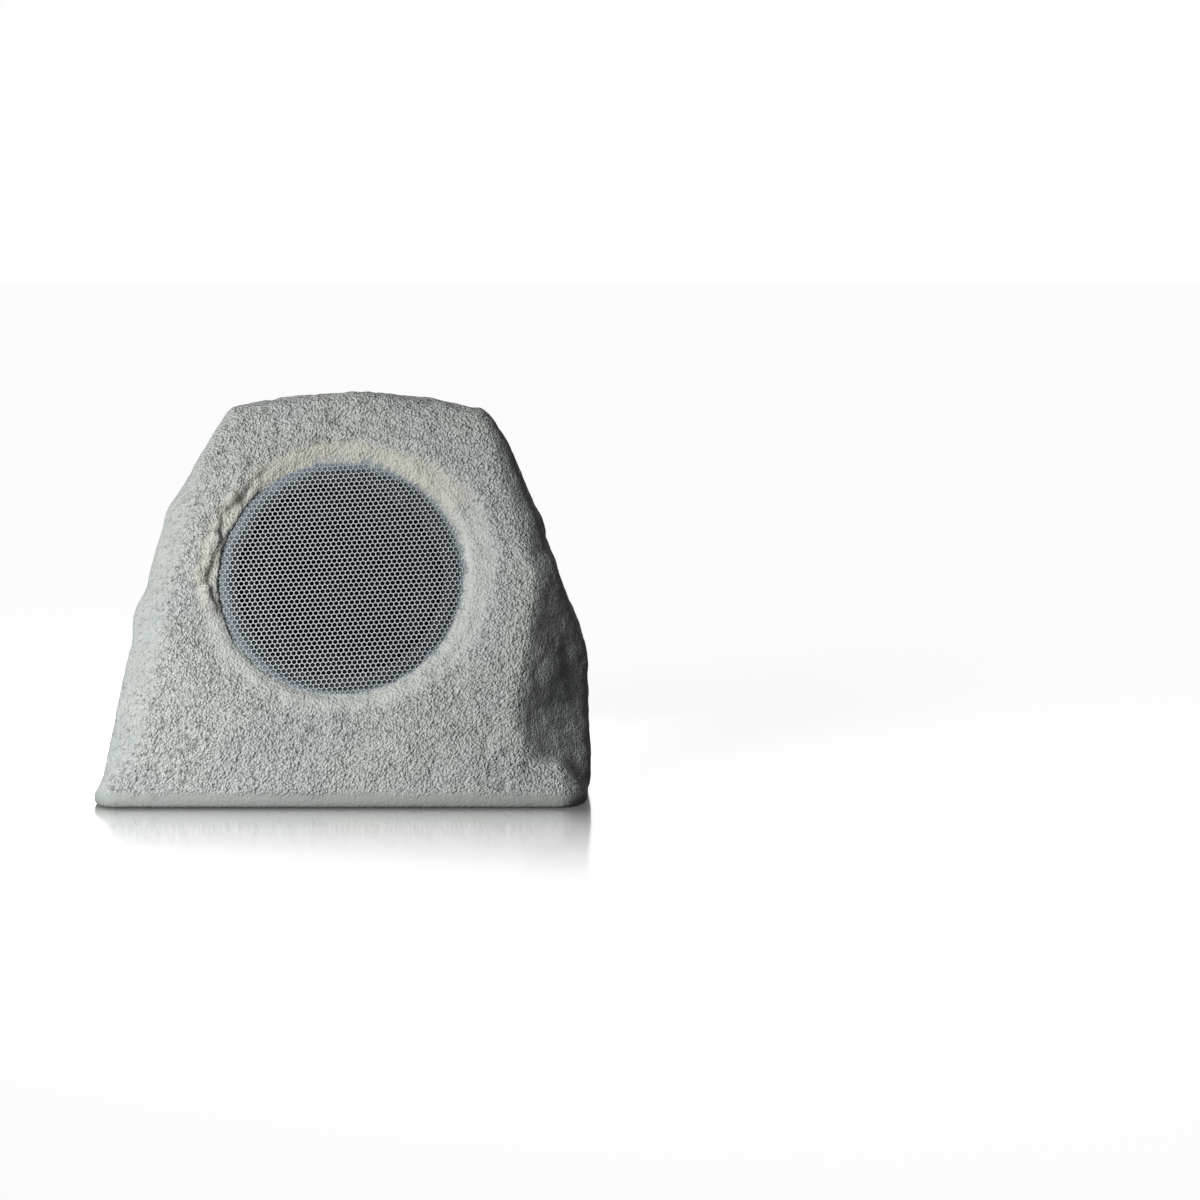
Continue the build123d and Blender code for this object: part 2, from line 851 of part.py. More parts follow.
with BuildPart() as yoke:
    with BuildSketch(face_plane.offset(yoke_back)):
        Circle(front_plate_radius)
    extrude(amount=yoke_thickness)
    with BuildSketch(face_plane.offset(magnet_back)):
        Circle(pole_radius)
    extrude(amount=magnet_height + front_plate_thickness)

yoke.part.label = "yoke"
export_step(yoke.part, "parts/yoke.step")

# Terminal board under the basket's ring, at the lowest arm
terminal_middle = -(basket_ring_radius - terminal_lap + terminal_length / 2)

with BuildPart() as driver_terminals:
    with BuildSketch(face_plane.offset(basket_back)):
        with Locations((0, terminal_middle)):
            Rectangle(terminal_width, terminal_length)
    extrude(amount=-terminal_thickness)

driver_terminals.part.label = "driver_terminals"
export_step(driver_terminals.part, "parts/driver_terminals.step")

# Amplifier board on its stands, with the heat sink, capacitors and connectors
with BuildPart() as amplifier_board:
    with BuildSketch(Plane.XY.offset(board_level)):
        with Locations((board_x, board_y)):
            Rectangle(board_length, board_width)
            with GridLocations(2 * stake_x, 2 * stake_y, 2, 2):
                Rectangle(stake_hole, stake_hole, mode=Mode.SUBTRACT)
    extrude(amount=board_thickness)

amplifier_board.part.label = "amplifier_board"
export_step(amplifier_board.part, "parts/amplifier_board.step")

sink_x = board_x - board_length / 2 + stake_inset + stand_size + sink_length / 2
fin_pitch = (sink_width - fin_thickness) / (fin_count - 1)

with BuildPart() as heat_sink:
    with BuildSketch(Plane.YZ.offset(sink_x)):
        with Locations((board_y, board_top)):
            Rectangle(sink_width, sink_base, align=(Align.CENTER, Align.MIN))
        with Locations((board_y, board_top + sink_base)):
            with GridLocations(fin_pitch, 0, fin_count, 1):
                Rectangle(fin_thickness, sink_height - sink_base, align=(Align.CENTER, Align.MIN))
    extrude(amount=sink_length / 2, both=True)

heat_sink.part.label = "heat_sink"
export_step(heat_sink.part, "parts/heat_sink.step")

capacitor_y = board_y + sink_width / 2 + capacitor_diameter
control_lead_x = control_lead_inset - control_board_length / 2

with BuildPart() as board_capacitors:
    with BuildSketch(Plane.XY.offset(board_top)):
        with Locations((control_lead_x - capacitor_place, capacitor_y)):
            with GridLocations(2 * capacitor_diameter, 0, 2, 1):
                RegularPolygon(capacitor_diameter / 2, capacitor_sides)
    extrude(amount=capacitor_height)

board_capacitors.part.label = "board_capacitors"
export_step(board_capacitors.part, "parts/board_capacitors.step")

# Connectors: driver and battery along the board's right edge, control panel at its back
battery_lead_y = cell_y + cell_pitch / 2
speaker_lead_y = battery_lead_y - connector_pitch
control_lead_y = board_y + board_width / 2 - connector_size
connector_x = board_x + board_length / 2 - connector_size / 2
connector_top = board_top + connector_height

with BuildPart() as board_connectors:
    with BuildSketch(Plane.XY.offset(board_top)):
        with Locations(
            (connector_x, battery_lead_y),
            (connector_x, speaker_lead_y),
            (control_lead_x, control_lead_y),
        ):
            Rectangle(connector_size, connector_size)
    extrude(amount=connector_height)

board_connectors.part.label = "board_connectors"
export_step(board_connectors.part, "parts/board_connectors.step")

# Battery: two cells wrapped as one pack, in the base plate's cradles and under a strap
with BuildPart() as battery_pack:
    with BuildSketch(Plane.YZ.offset(cell_x)):
        with Locations((cell_y, cell_level)):
            SlotCenterToCenter(cell_pitch, cell_diameter)
    extrude(amount=cell_length / 2, both=True)

battery_pack.part.label = "battery_pack"
export_step(battery_pack.part, "parts/battery_pack.step")

with BuildPart() as battery_strap:
    with BuildSketch(Plane.YZ.offset(cell_x)):
        with Locations((cell_y, plate_top)):
            Rectangle(
                2 * (strap_reach + strap_thickness),
                strap_top - plate_top,
                align=(Align.CENTER, Align.MIN),
            )
            Rectangle(
                2 * (strap_foot_y + strap_foot / 2),
                strap_thickness,
                align=(Align.CENTER, Align.MIN),
            )
            Rectangle(
                2 * strap_reach,
                strap_top - strap_thickness - plate_top,
                align=(Align.CENTER, Align.MIN),
                mode=Mode.SUBTRACT,
            )
    extrude(amount=strap_width / 2, both=True)
    with BuildSketch(Plane.XY.offset(plate_top)):
        with Locations((cell_x, cell_y)):
            with GridLocations(0, 2 * strap_foot_y, 1, 2):
                Rectangle(stake_hole, stake_hole)
    extrude(amount=strap_thickness, mode=Mode.SUBTRACT)

battery_strap.part.label = "battery_strap"
export_step(battery_strap.part, "parts/battery_strap.step")

# Control panel: plate with its tray, board stands, hinge lugs and holes
hinge_level = panel_face + cover_gap + barrel_diameter / 2
hinge_point = back_plane.from_local_coords((socket_place, cover_rise, hinge_level))
hinge_plane = Plane(origin=hinge_point, z_dir=(1, 0, 0))
lug_place = cover_length / 2 + cover_gap + lug_thickness / 2
control_stake_x = control_board_length / 2 - stake_size
control_stake_y = control_board_width / 2 - stake_size

with BuildPart() as control_panel:
    with BuildSketch(back_plane.offset(panel_back)):
        RectangleRounded(panel_length, panel_width, panel_corner)
    extrude(amount=panel_thickness)
    with BuildSketch(back_plane.offset(panel_back)):
        Rectangle(tray_length, tray_width)
        Rectangle(tray_length - 2 * tray_wall, tray_width - 2 * tray_wall, mode=Mode.SUBTRACT)
    extrude(amount=-tray_depth)
    with BuildSketch(back_plane.offset(panel_back)):
        with GridLocations(2 * control_stake_x, 2 * control_stake_y, 2, 2):
            Rectangle(2 * stake_size, 2 * stake_size)
    extrude(amount=-board_gap)
    with BuildSketch(back_plane.offset(control_level)):
        with GridLocations(2 * control_stake_x, 2 * control_stake_y, 2, 2):
            Rectangle(stake_size, stake_size)
    extrude(amount=-board_thickness - stake_height)
    with BuildSketch(back_plane.offset(panel_face)):
        with Locations((socket_place, cover_rise)):
            with GridLocations(2 * lug_place, 0, 2, 1):
                Rectangle(lug_thickness, lug_size)
    extrude(amount=cover_gap + barrel_diameter)
    with BuildSketch(hinge_plane):
        screw_hole(hinge_pin_diameter, pin_clearance)
    extrude(amount=lug_place + lug_thickness, both=True, mode=Mode.SUBTRACT)
    with BuildSketch(back_plane.offset(panel_back)):
        with Locations(*[(place, 0) for place in button_places]):
            button_hole = Rectangle(
                button_length + 2 * button_clearance,
                button_width + 2 * button_clearance,
            )
        chamfer(button_hole.vertices(), button_corner)
        with Locations((lens_place, 0)):
            Rectangle(lens_length + 2 * lens_clearance, lens_width + 2 * lens_clearance)
        with Locations((socket_place, 0)):
            Circle(socket_diameter / 2 + socket_clearance)
        with GridLocations(2 * panel_screw_x, 0, 2, 1):
            screw_hole(panel_screw_diameter, screw_clearance)
    extrude(amount=panel_thickness, mode=Mode.SUBTRACT)

control_panel.part.label = "control_panel"
export_step(control_panel.part, "parts/control_panel.step")

with BuildPart() as panel_seal:
    with BuildSketch(back_plane.offset(panel_seat)):
        RectangleRounded(panel_length, panel_width, panel_corner)
        Rectangle(opening_length, opening_width, mode=Mode.SUBTRACT)
        with GridLocations(2 * panel_screw_x, 0, 2, 1):
            screw_hole(panel_screw_diameter, screw_clearance, Mode.SUBTRACT)
    extrude(amount=panel_seal_thickness)

panel_seal.part.label = "panel_seal"
export_step(panel_seal.part, "parts/panel_seal.step")

with BuildPart() as panel_screws:
    with BuildSketch(back_plane.offset(panel_face)):
        with GridLocations(2 * panel_screw_x, 0, 2, 1):
            RegularPolygon(panel_head_diameter / 2, head_sides)
    extrude(amount=panel_head_height)
    with BuildSketch(back_plane.offset(panel_face)):
        with GridLocations(2 * panel_screw_x, 0, 2, 1):
            RegularPolygon(panel_screw_diameter / 2, shank_sides)
    extrude(amount=-panel_screw_length)

panel_screws.part.label = "panel_screws"
export_step(panel_screws.part, "parts/panel_screws.step")

with BuildPart() as control_board:
    with BuildSketch(back_plane.offset(control_level)):
        Rectangle(control_board_length, control_board_width)
        with GridLocations(2 * control_stake_x, 2 * control_stake_y, 2, 2):
            Rectangle(stake_hole, stake_hole, mode=Mode.SUBTRACT)
    extrude(amount=-board_thickness)

control_board.part.label = "control_board"
export_step(control_board.part, "parts/control_board.step")

with BuildPart() as button_switches:
    with BuildSketch(back_plane.offset(control_level)):
        with Locations(*[(place, 0) for place in button_places]):
            Rectangle(switch_size, switch_size)
    extrude(amount=switch_height)
    with BuildSketch(back_plane.offset(switch_level)):
        with Locations(*[(place, 0) for place in button_places]):
            Rectangle(button_stem + 2 * button_clearance, button_stem + 2 * button_clearance)
    extrude(amount=-switch_well, mode=Mode.SUBTRACT)

button_switches.part.label = "button_switches"
export_step(button_switches.part, "parts/button_switches.step")

# Buttons: cap through the panel, flange behind it and stem down to the switch
flange_top = panel_back - button_gap

for button_name, place in zip(button_names, button_places):
    with BuildPart() as button:
        with BuildSketch(back_plane.offset(flange_top)):
            with Locations((place, 0)):
                cap = Rectangle(button_length, button_width)
            chamfer(cap.vertices(), button_corner)
        extrude(amount=button_gap + panel_thickness + button_proud)
        with BuildSketch(back_plane.offset(flange_top)):
            with Locations((place, 0)):
                Rectangle(button_length + 2 * button_lap, button_width + 2 * button_lap)
        extrude(amount=-button_flange)
        with BuildSketch(back_plane.offset(switch_level - button_entry)):
            with Locations((place, 0)):
                Rectangle(button_stem, button_stem)
        extrude(amount=flange_top - button_flange - switch_level + button_entry)
    button.part.label = button_name
    export_step(button.part, f"parts/{button_name}.step")

with BuildPart() as status_lens:
    with BuildSketch(back_plane.offset(panel_back)):
        with Locations((lens_place, 0)):
            Rectangle(lens_length, lens_width)
    extrude(amount=panel_thickness)
    with BuildSketch(back_plane.offset(panel_back)):
        with Locations((lens_place, 0)):
            Rectangle(lens_length + 2 * lens_lap, lens_width + 2 * lens_lap)
    extrude(amount=-button_flange)
    with BuildSketch(back_plane.offset(control_level)):
        with Locations((lens_place, 0)):
            Rectangle(lens_length, lens_width)
    extrude(amount=board_gap - button_flange)

status_lens.part.label = "status_lens"
export_step(status_lens.part, "parts/status_lens.step")

# Charge socket on the control board, with its centre pin
with BuildPart() as charge_socket:
    with BuildSketch(back_plane.offset(control_level)):
        with Locations((socket_place, 0)):
            Rectangle(socket_body, socket_body)
    extrude(amount=board_gap)
    with BuildSketch(back_plane.offset(panel_back)):
        with Locations((socket_place, 0)):
            Circle(socket_diameter / 2)
    extrude(amount=panel_thickness)
    with BuildSketch(back_plane.offset(panel_face)):
        with Locations((socket_place, 0)):
            Circle(socket_bore / 2)
    extrude(amount=-socket_depth, mode=Mode.SUBTRACT)

charge_socket.part.label = "charge_socket"
export_step(charge_socket.part, "parts/charge_socket.step")

with BuildPart() as charge_pin:
    with BuildSketch(back_plane.offset(panel_face - socket_depth)):
        with Locations((socket_place, 0)):
            Circle(charge_pin_diameter / 2)
    extrude(amount=socket_depth - charge_pin_sunk)

charge_pin.part.label = "charge_pin"
export_step(charge_pin.part, "parts/charge_pin.step")

# Hinged cover of the socket: plate, barrel and hinge pin
with BuildPart() as socket_cover:
    with BuildSketch(back_plane.offset(panel_face + cover_gap)):
        with Locations((socket_place, cover_rise)):
            Rectangle(cover_length, cover_drop, align=(Align.CENTER, Align.MAX))
    extrude(amount=cover_thickness)
    with BuildSketch(hinge_plane):
        Circle(barrel_diameter / 2)
    extrude(amount=cover_length / 2, both=True)
    with BuildSketch(hinge_plane):
        Circle(hinge_pin_diameter / 2 + hinge_clearance)
    extrude(amount=cover_length / 2, both=True, mode=Mode.SUBTRACT)

socket_cover.part.label = "socket_cover"
export_step(socket_cover.part, "parts/socket_cover.step")

with BuildPart() as cover_pin:
    with BuildSketch(hinge_plane):
        Circle(hinge_pin_diameter / 2)
    extrude(amount=lug_place + lug_thickness / 2, both=True)

cover_pin.part.label = "cover_pin"
export_step(cover_pin.part, "parts/cover_pin.step")

# Flat leads, each bent in one plane from its connector to the piece it feeds
terminal_point = face_plane.from_local_coords((0, terminal_middle, basket_back - terminal_thickness))
terminal_approach = terminal_point - face_normal * lead_drop
panel_point = back_plane.from_local_coords((-control_lead_x, 0, control_level - board_thickness))
panel_approach = panel_point - back_normal * lead_drop
cell_end = cell_x - cell_length / 2

with BuildPart() as speaker_lead:
    with BuildSketch(Plane.YZ.offset(connector_x)):
        with BuildLine():
            Polyline(
                (speaker_lead_y, connector_top),
                (speaker_lead_y, connector_top + lead_rise / 2),
                (terminal_approach.Y, terminal_approach.Z),
                (terminal_point.Y, terminal_point.Z),
            )
        trace(line_width=lead_thickness)
    extrude(amount=lead_width / 2, both=True)

speaker_lead.part.label = "speaker_lead"
export_step(speaker_lead.part, "parts/speaker_lead.step")

with BuildPart() as battery_lead:
    with BuildSketch(Plane.XZ.offset(-battery_lead_y)):
        with BuildLine():
            Polyline(
                (connector_x, connector_top),
                (connector_x, connector_top + lead_rise),
                (cell_end - lead_drop / 2, connector_top + lead_rise),
                (cell_end - lead_drop / 2, cell_level),
                (cell_end, cell_level),
            )
        trace(line_width=lead_thickness)
    extrude(amount=lead_width / 2, both=True)

battery_lead.part.label = "battery_lead"
export_step(battery_lead.part, "parts/battery_lead.step")

with BuildPart() as control_lead:
    with BuildSketch(Plane.YZ.offset(control_lead_x)):
        with BuildLine():
            Polyline(
                (control_lead_y, connector_top),
                (control_lead_y, connector_top + lead_rise),
                (panel_approach.Y, panel_approach.Z),
                (panel_point.Y, panel_point.Z),
            )
        trace(line_width=lead_thickness)
    extrude(amount=lead_width / 2, both=True)

control_lead.part.label = "control_lead"
export_step(control_lead.part, "parts/control_lead.step")
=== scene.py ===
import json
import math

import bpy
import numpy as np
from mathutils import Matrix, Vector, noise
from mathutils.bvhtree import BVHTree


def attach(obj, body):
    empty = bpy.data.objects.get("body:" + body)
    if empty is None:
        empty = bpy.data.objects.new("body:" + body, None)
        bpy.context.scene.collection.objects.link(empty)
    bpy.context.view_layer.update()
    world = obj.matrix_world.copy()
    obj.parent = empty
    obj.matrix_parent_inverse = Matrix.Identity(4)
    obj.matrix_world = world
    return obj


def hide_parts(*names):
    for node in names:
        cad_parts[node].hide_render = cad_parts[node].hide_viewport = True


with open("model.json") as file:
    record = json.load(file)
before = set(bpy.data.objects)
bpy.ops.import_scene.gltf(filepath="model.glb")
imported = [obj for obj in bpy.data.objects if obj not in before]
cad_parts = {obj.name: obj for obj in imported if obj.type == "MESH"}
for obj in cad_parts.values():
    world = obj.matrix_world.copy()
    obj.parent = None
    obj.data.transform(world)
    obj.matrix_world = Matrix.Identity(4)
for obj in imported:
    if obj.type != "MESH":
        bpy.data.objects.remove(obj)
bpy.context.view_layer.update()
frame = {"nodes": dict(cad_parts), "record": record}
nodes = frame["nodes"]
print("frame loaded,", len(nodes), "nodes")


# selection and editing, as by hand

def pickNone():
    if bpy.context.mode != "OBJECT":
        bpy.ops.object.mode_set(mode="OBJECT")
    bpy.ops.object.select_all(action="DESELECT")


def pickOnly(*pieces):
    pickNone()
    for piece in pieces:
        piece.select_set(True)
    bpy.context.view_layer.objects.active = pieces[0]


def startEdit(piece, choose="SELECT"):
    pickOnly(piece)
    bpy.ops.object.mode_set(mode="EDIT")
    bpy.ops.mesh.select_all(action=choose)


def endEdit():
    bpy.ops.object.mode_set(mode="OBJECT")


def chooseFaces(piece, wanted):  # wanted is one True or False for each face
    startEdit(piece, "DESELECT")
    bpy.ops.mesh.select_mode(type="FACE")
    endEdit()
    piece.data.polygons.foreach_set("select", np.asarray(wanted, bool))
    bpy.ops.object.mode_set(mode="EDIT")


def dropFaces(piece, wanted):
    chooseFaces(piece, wanted)
    bpy.ops.mesh.delete(type="FACE")
    endEdit()


def applyModifier(piece, kind, **settings):
    pickOnly(piece)
    modifier = piece.modifiers.new(kind.lower(), kind)
    for key, value in settings.items():
        setattr(modifier, key, value)
    bpy.ops.object.modifier_apply(modifier=modifier.name)


def roundEdges(piece, width, segments, sharpest):  # angle in degrees
    applyModifier(
        piece, "BEVEL", width=width, segments=segments,
        limit_method="ANGLE", angle_limit=math.radians(sharpest),
    )


def copyOf(nodeName, pieceName):  # a node's triangles, merged into one surface
    piece = bpy.data.objects.new(pieceName, nodes[nodeName].data.copy())
    bpy.context.scene.collection.objects.link(piece)
    piece.data.materials.clear()
    startEdit(piece)
    bpy.ops.mesh.remove_doubles(threshold=0.000004)
    endEdit()
    return piece


def hullOf(nodeName):
    piece = copyOf(nodeName, nodeName + "Hull")
    startEdit(piece)
    bpy.ops.mesh.convex_hull()
    endEdit()
    return piece


def vertexArray(piece, field, width=3):
    values = np.zeros(len(piece.data.vertices) * width)
    piece.data.vertices.foreach_get(field, values)
    return values.reshape(-1, width)


def faceArray(piece, field):
    values = np.zeros(len(piece.data.polygons) * 3)
    piece.data.polygons.foreach_get(field, values)
    return values.reshape(-1, 3)


def smoothStep(low, high, values):
    part = np.clip((values - low) / (high - low), 0, 1)
    return part * part * (3 - 2 * part)


def addField(piece, name, values):
    field = piece.data.attributes.new(name, "FLOAT", "POINT")
    field.data.foreach_set("value", np.asarray(values, np.float32))


def settle(piece, body, slotName, material, *standsFor):
    piece.data.materials.clear()
    piece.data.materials.append(material)
    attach(piece, body)
    if standsFor:
        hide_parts(*standsFor)


# shader maths

class Wire:
    def __init__(self, shader, socket):
        self.shader = shader
        self.socket = socket

    def maths(self, operation, first, second):
        return self.shader.add("ShaderNodeMath", {"operation": operation}, {0: first, 1: second})

    def __add__(self, other):
        return self.maths("ADD", self, other)

    def __sub__(self, other):
        return self.maths("SUBTRACT", self, other)

    def __rsub__(self, other):
        return self.maths("SUBTRACT", other, self)

    def __mul__(self, other):
        return self.maths("MULTIPLY", self, other)

    def __pow__(self, other):
        return self.maths("POWER", self, other)

    def most(self, other):
        return self.maths("MAXIMUM", self, other)

    __radd__ = __add__
    __rmul__ = __mul__


class Shader:
    def __init__(self, owner):  # a material or the world
        self.owner = owner
        owner.use_nodes = True
        self.tree = owner.node_tree
        self.tree.nodes.clear()

    def add(self, kind, settings=None, inputs=None, out=0):
        node = self.tree.nodes.new(kind)
        for key, value in (settings or {}).items():
            setattr(node, key, value)
        for key, value in (inputs or {}).items():
            if isinstance(value, Wire):
                self.tree.links.new(value.socket, node.inputs[key])
            else:
                node.inputs[key].default_value = value
        return Wire(self, node.outputs[out]) if node.outputs else None

    def place(self):
        return self.add("ShaderNodeTexCoord", out=3)

    def field(self, name):
        return self.add("ShaderNodeAttribute", {"attribute_name": name}, out=2)

    def cloud(self, where, size, detail=2.0, rough=0.5):  # size in metres
        inputs = {"Vector": where, "Scale": 1 / size, "Detail": detail, "Roughness": rough}
        return self.add("ShaderNodeTexNoise", {}, inputs)

    def cells(self, where, size):
        inputs = {"Vector": where, "Scale": 1 / size, "Randomness": 1.0}
        return self.add("ShaderNodeTexVoronoi", {}, inputs)

    def step(self, value, low, high):
        inputs = {"Value": value, "From Min": low, "From Max": high}
        return self.add("ShaderNodeMapRange", {"interpolation_type": "SMOOTHSTEP"}, inputs)

    def blend(self, amount, first, second):
        inputs = {0: amount, 6: colour(first), 7: colour(second)}
        return self.add("ShaderNodeMix", {"data_type": "RGBA"}, inputs, 2)

    def bump(self, height, depth):
        return self.add("ShaderNodeBump", {}, {"Height": height, "Distance": depth, "Strength": 1.0})

    def finish(self, **inputs):
        named = {key.replace("_", " "): value for key, value in inputs.items()}
        surface = self.add("ShaderNodeBsdfPrincipled", {}, named)
        self.add("ShaderNodeOutputMaterial", {}, {"Surface": surface})
        return self.owner


def newShader(name):
    return Shader(bpy.data.materials.new(name))


def colour(value):
    return value if isinstance(value, Wire) else (*value, 1.0)


# rock skin: the shell's outside with its mortar ring, remeshed, roughened and coloured

rock = {
    "voxel": 0.0015,
    "middle": (-2.5, -54.68, 112.7),  # middle of the grille on the leaning face, mm
    "lean": 27.2,
    "ringIn": 65.5,
    "ringOut": 73.0,
    "wear": 34,  # smoothing steps that soften the edges
    "rim": (  # bearing on the face and radius of the mortar's inner edge, mm
        (0, 66.8), (45, 67.5), (90, 68.4), (107, 67.5), (124, 65.6), (140, 63.7), (170, 62.9), (200, 63.5),
        (235, 64.3), (262, 65.2), (285, 66.2), (310, 66.2), (340, 67.4), (360, 66.8),
    ),
    "dish": (  # radius and level, mm
        (64, -4.9), (65.6, -4.5), (66.6, -3.5), (69, -2.6), (73, -1.8), (82, -0.8), (95, 0),
    ),
    "crust": (  # bearing and radius of the broken edge, mm
        (116, 73), (131, 71.3), (143, 67), (148, 71), (151, 74), (154, 69),
        (163, 66), (174, 67), (182, 69.5), (190, 66.5), (200, 65),
    ),
    "fill": (  # bearing and radius from which the grille's holes are painted over, mm
        (0, 62.5), (90, 60.5), (150, 57.5), (200, 58), (250, 61), (300, 63), (360, 62.5),
    ),
    "waves": ((60, 0.5), (22, 0.9), (9, 0.7), (4.2, 0.5)),  # size and height, mm
    "lumps": (  # across, up the face, radius, height, mm
        (-57.5, 43, 3.2, 2.8), (-53, 50, 3.0, 1.3), (-62, 36, 3.0, 1.6), (-66, 22, 4.0, 1.2),
        (-36, -65, 4.2, 1.5), (-41, -59, 3.0, 1.3), (-23, -69, 5.0, 1.5), (-12, -72, 3.6, 0.9),
        (1, -73, 6.0, 1.3), (38, 60, 4.0, 0.8), (60, 38, 5.0, 0.8),
    ),
    "panel": (55, 60, 61, 24),  # half width, nearest depth, middle height and half height, mm
    "hatch": (46, 15),  # half width and half height of the hole behind the panel, mm
    "leftSteps": ((89, 7, 1.7), (104, 5, -1.2), (142, 6, 1.0), (156, 5, -1.0)),  # height, width, rise, mm
    "rightSteps": ((140, 6, 0.8), (124, 5, -0.9)),
    "grains": {  # sizes in metres
        "grain": 0.0008, "grit": 0.00125, "dimple": 0.0022, "pit": 0.0031,
        "crumb": 0.0045, "mottle": 0.018, "broad": 0.055,
    },
    "tones": {
        # sides: painted shade on the left bevel and the right facets
        "cool": (0.450, 0.482, 0.474), "warm": (0.480, 0.503, 0.474), "sides": (0.31, 0.335, 0.325),
        # the light tips colour is a painted highlight on the raised grain
        "mottle": (0.55, 0.565, 0.53), "grainHighlights": (0.74, 0.75, 0.73), "ring": (0.42, 0.43, 0.405),
        # low: painted shade in the grain's cavities
        "cream": (0.455, 0.44, 0.35), "lip": (0.235, 0.255, 0.235), "low": (0.15, 0.155, 0.145),
        # the hollow colour is painted shade in the pits and in the crevice along the broken edge
        "hollow": (0.06, 0.06, 0.055), "bare": (0.05, 0.055, 0.055), "painted": (0.165, 0.185, 0.20),
    },
}


def cloudField(points, size, shift):
    move = Vector((shift, -shift, 2 * shift))
    return np.array([noise.noise(Vector(point) / size + move) for point in points])


def facePlacement(level=0.0):  # from a flat drawing to the leaning face, at a level above it
    lean = math.radians(rock["lean"])
    turned = Matrix((
        (1, 0, 0),
        (0, math.sin(lean), -math.cos(lean)),
        (0, math.cos(lean), math.sin(lean)),
    )).to_4x4()
    return Matrix.Translation(Vector(rock["middle"]) / 1000) @ turned @ Matrix.Translation((0, 0, level))


def faceOut():
    lean = math.radians(rock["lean"])
    return np.array((0, -math.cos(lean), math.sin(lean)))


def alongFace(points):  # across, up, level and distance from the middle, mm
    lean = math.radians(rock["lean"])
    away = points - np.array(rock["middle"])
    up = away @ np.array((0, math.sin(lean), math.cos(lean)))
    return away[:, 0], up, away @ faceOut(), np.hypot(away[:, 0], up)


def bell(values, middle, width):
    return np.exp(-(((values - middle) / width) ** 2))


def nearPanel(points):
    half, behind, middle, tall = rock["panel"]
    return (np.abs(points[:, 0]) < half) & (points[:, 1] > behind) & (np.abs(points[:, 2] - middle) < tall)


def sealedShell():  # outer surface alone: the openings are plugged, then remeshed
    skin = copyOf("rock_shell", "rockSkin")
    plugs = [copyOf("grille_bead", "beadCopy")]
    plugs += [hullOf(nodeName) for nodeName in ("base_seal", "surround", "panel_seal")]
    pickNone()
    bpy.ops.mesh.primitive_torus_add(
        major_segments=96, minor_segments=8, major_radius=rock["ringOut"] / 1000, minor_radius=0.0018
    )
    joint = bpy.context.object
    joint.data.transform(facePlacement(-0.0020))
    pickOnly(skin, joint, *plugs)
    bpy.ops.object.join()
    applyModifier(skin, "REMESH", mode="VOXEL", voxel_size=rock["voxel"])
    return skin


def openUp(skin):  # throat, underside and panel opening
    centres = faceArray(skin, "center") * 1000
    turned = faceArray(skin, "normal")
    _, _, level, reach = alongFace(centres)
    throat = (reach < 53.6) & (level < -6.6) & (level > -20)
    floor = (turned[:, 2] < -0.5) & (centres[:, 2] > 3) & (centres[:, 2] < 8)
    half, tall = rock["hatch"]
    _, behind, middle, _ = rock["panel"]
    hatch = (np.abs(centres[:, 0]) < half) & (np.abs(centres[:, 2] - middle) < tall)
    hatch &= (turned[:, 1] > 0.9) & (centres[:, 1] > behind)
    dropFaces(skin, throat | floor | hatch)


def wearEdges(skin):
    points = vertexArray(skin, "co") * 1000
    _, _, level, reach = alongFace(points)
    crisp = ((reach < 76) & (np.abs(level) < 20)) | nearPanel(points) | (points[:, 2] < 5.5)
    worn = skin.vertex_groups.new(name="worn")
    worn.add(np.nonzero(~crisp)[0].tolist(), 1.0, "REPLACE")
    applyModifier(skin, "SMOOTH", factor=0.5, iterations=2)
    applyModifier(skin, "SMOOTH", factor=0.5, iterations=rock["wear"], vertex_group="worn")
    joint = skin.vertex_groups.new(name="joint")
    joint.add(np.nonzero((reach > 68) & (reach < 80) & (np.abs(level) < 8))[0].tolist(), 1.0, "REPLACE")
    applyModifier(skin, "SMOOTH", factor=0.5, iterations=8, vertex_group="joint")


def table(name, values):
    return np.interp(values, *zip(*rock[name]))


def bearingOf(across, up):
    return np.degrees(np.arctan2(up, across)) % 360


def shapeRing(skin):  # mortar smeared over the grille's rim, in a shallow dish
    points = vertexArray(skin, "co") * 1000
    across, up, level, reach = alongFace(points)
    bearing = bearingOf(across, up)
    lean = math.radians(rock["lean"])
    uphill = np.array((0, math.sin(lean), math.cos(lean)))
    front = (level > -5.4) & (level < 8) & (reach > 64) & (reach < 96)
    was = np.interp(reach, (rock["ringIn"], rock["ringOut"]), (-5, 0))
    lift = np.where(front, table("dish", reach) - was, 0)
    rim = table("rim", bearing) + 0.7 * cloudField(points, 8, 61.0)
    shift = np.where(front, (rim - rock["ringIn"]) * (1 - smoothStep(67, 86, reach)), 0)
    back = (level <= -5.4) & (level > -7) & (reach < 66)
    painted = smoothStep(-1.5, 1.5, reach - table("fill", bearing) + 1.5 * cloudField(points, 6, 63.0))
    lift += np.where(back, 0.6 * painted, 0)
    flat = np.stack([across, up], 1) / np.maximum(reach, 1)[:, None] * shift[:, None]
    points[:, 0] += flat[:, 0]
    points += flat[:, 1, None] * uphill + lift[:, None] * faceOut()
    skin.data.vertices.foreach_set("co", (points / 1000).ravel())
    skin.data.update()
    addField(skin, "painted", painted)


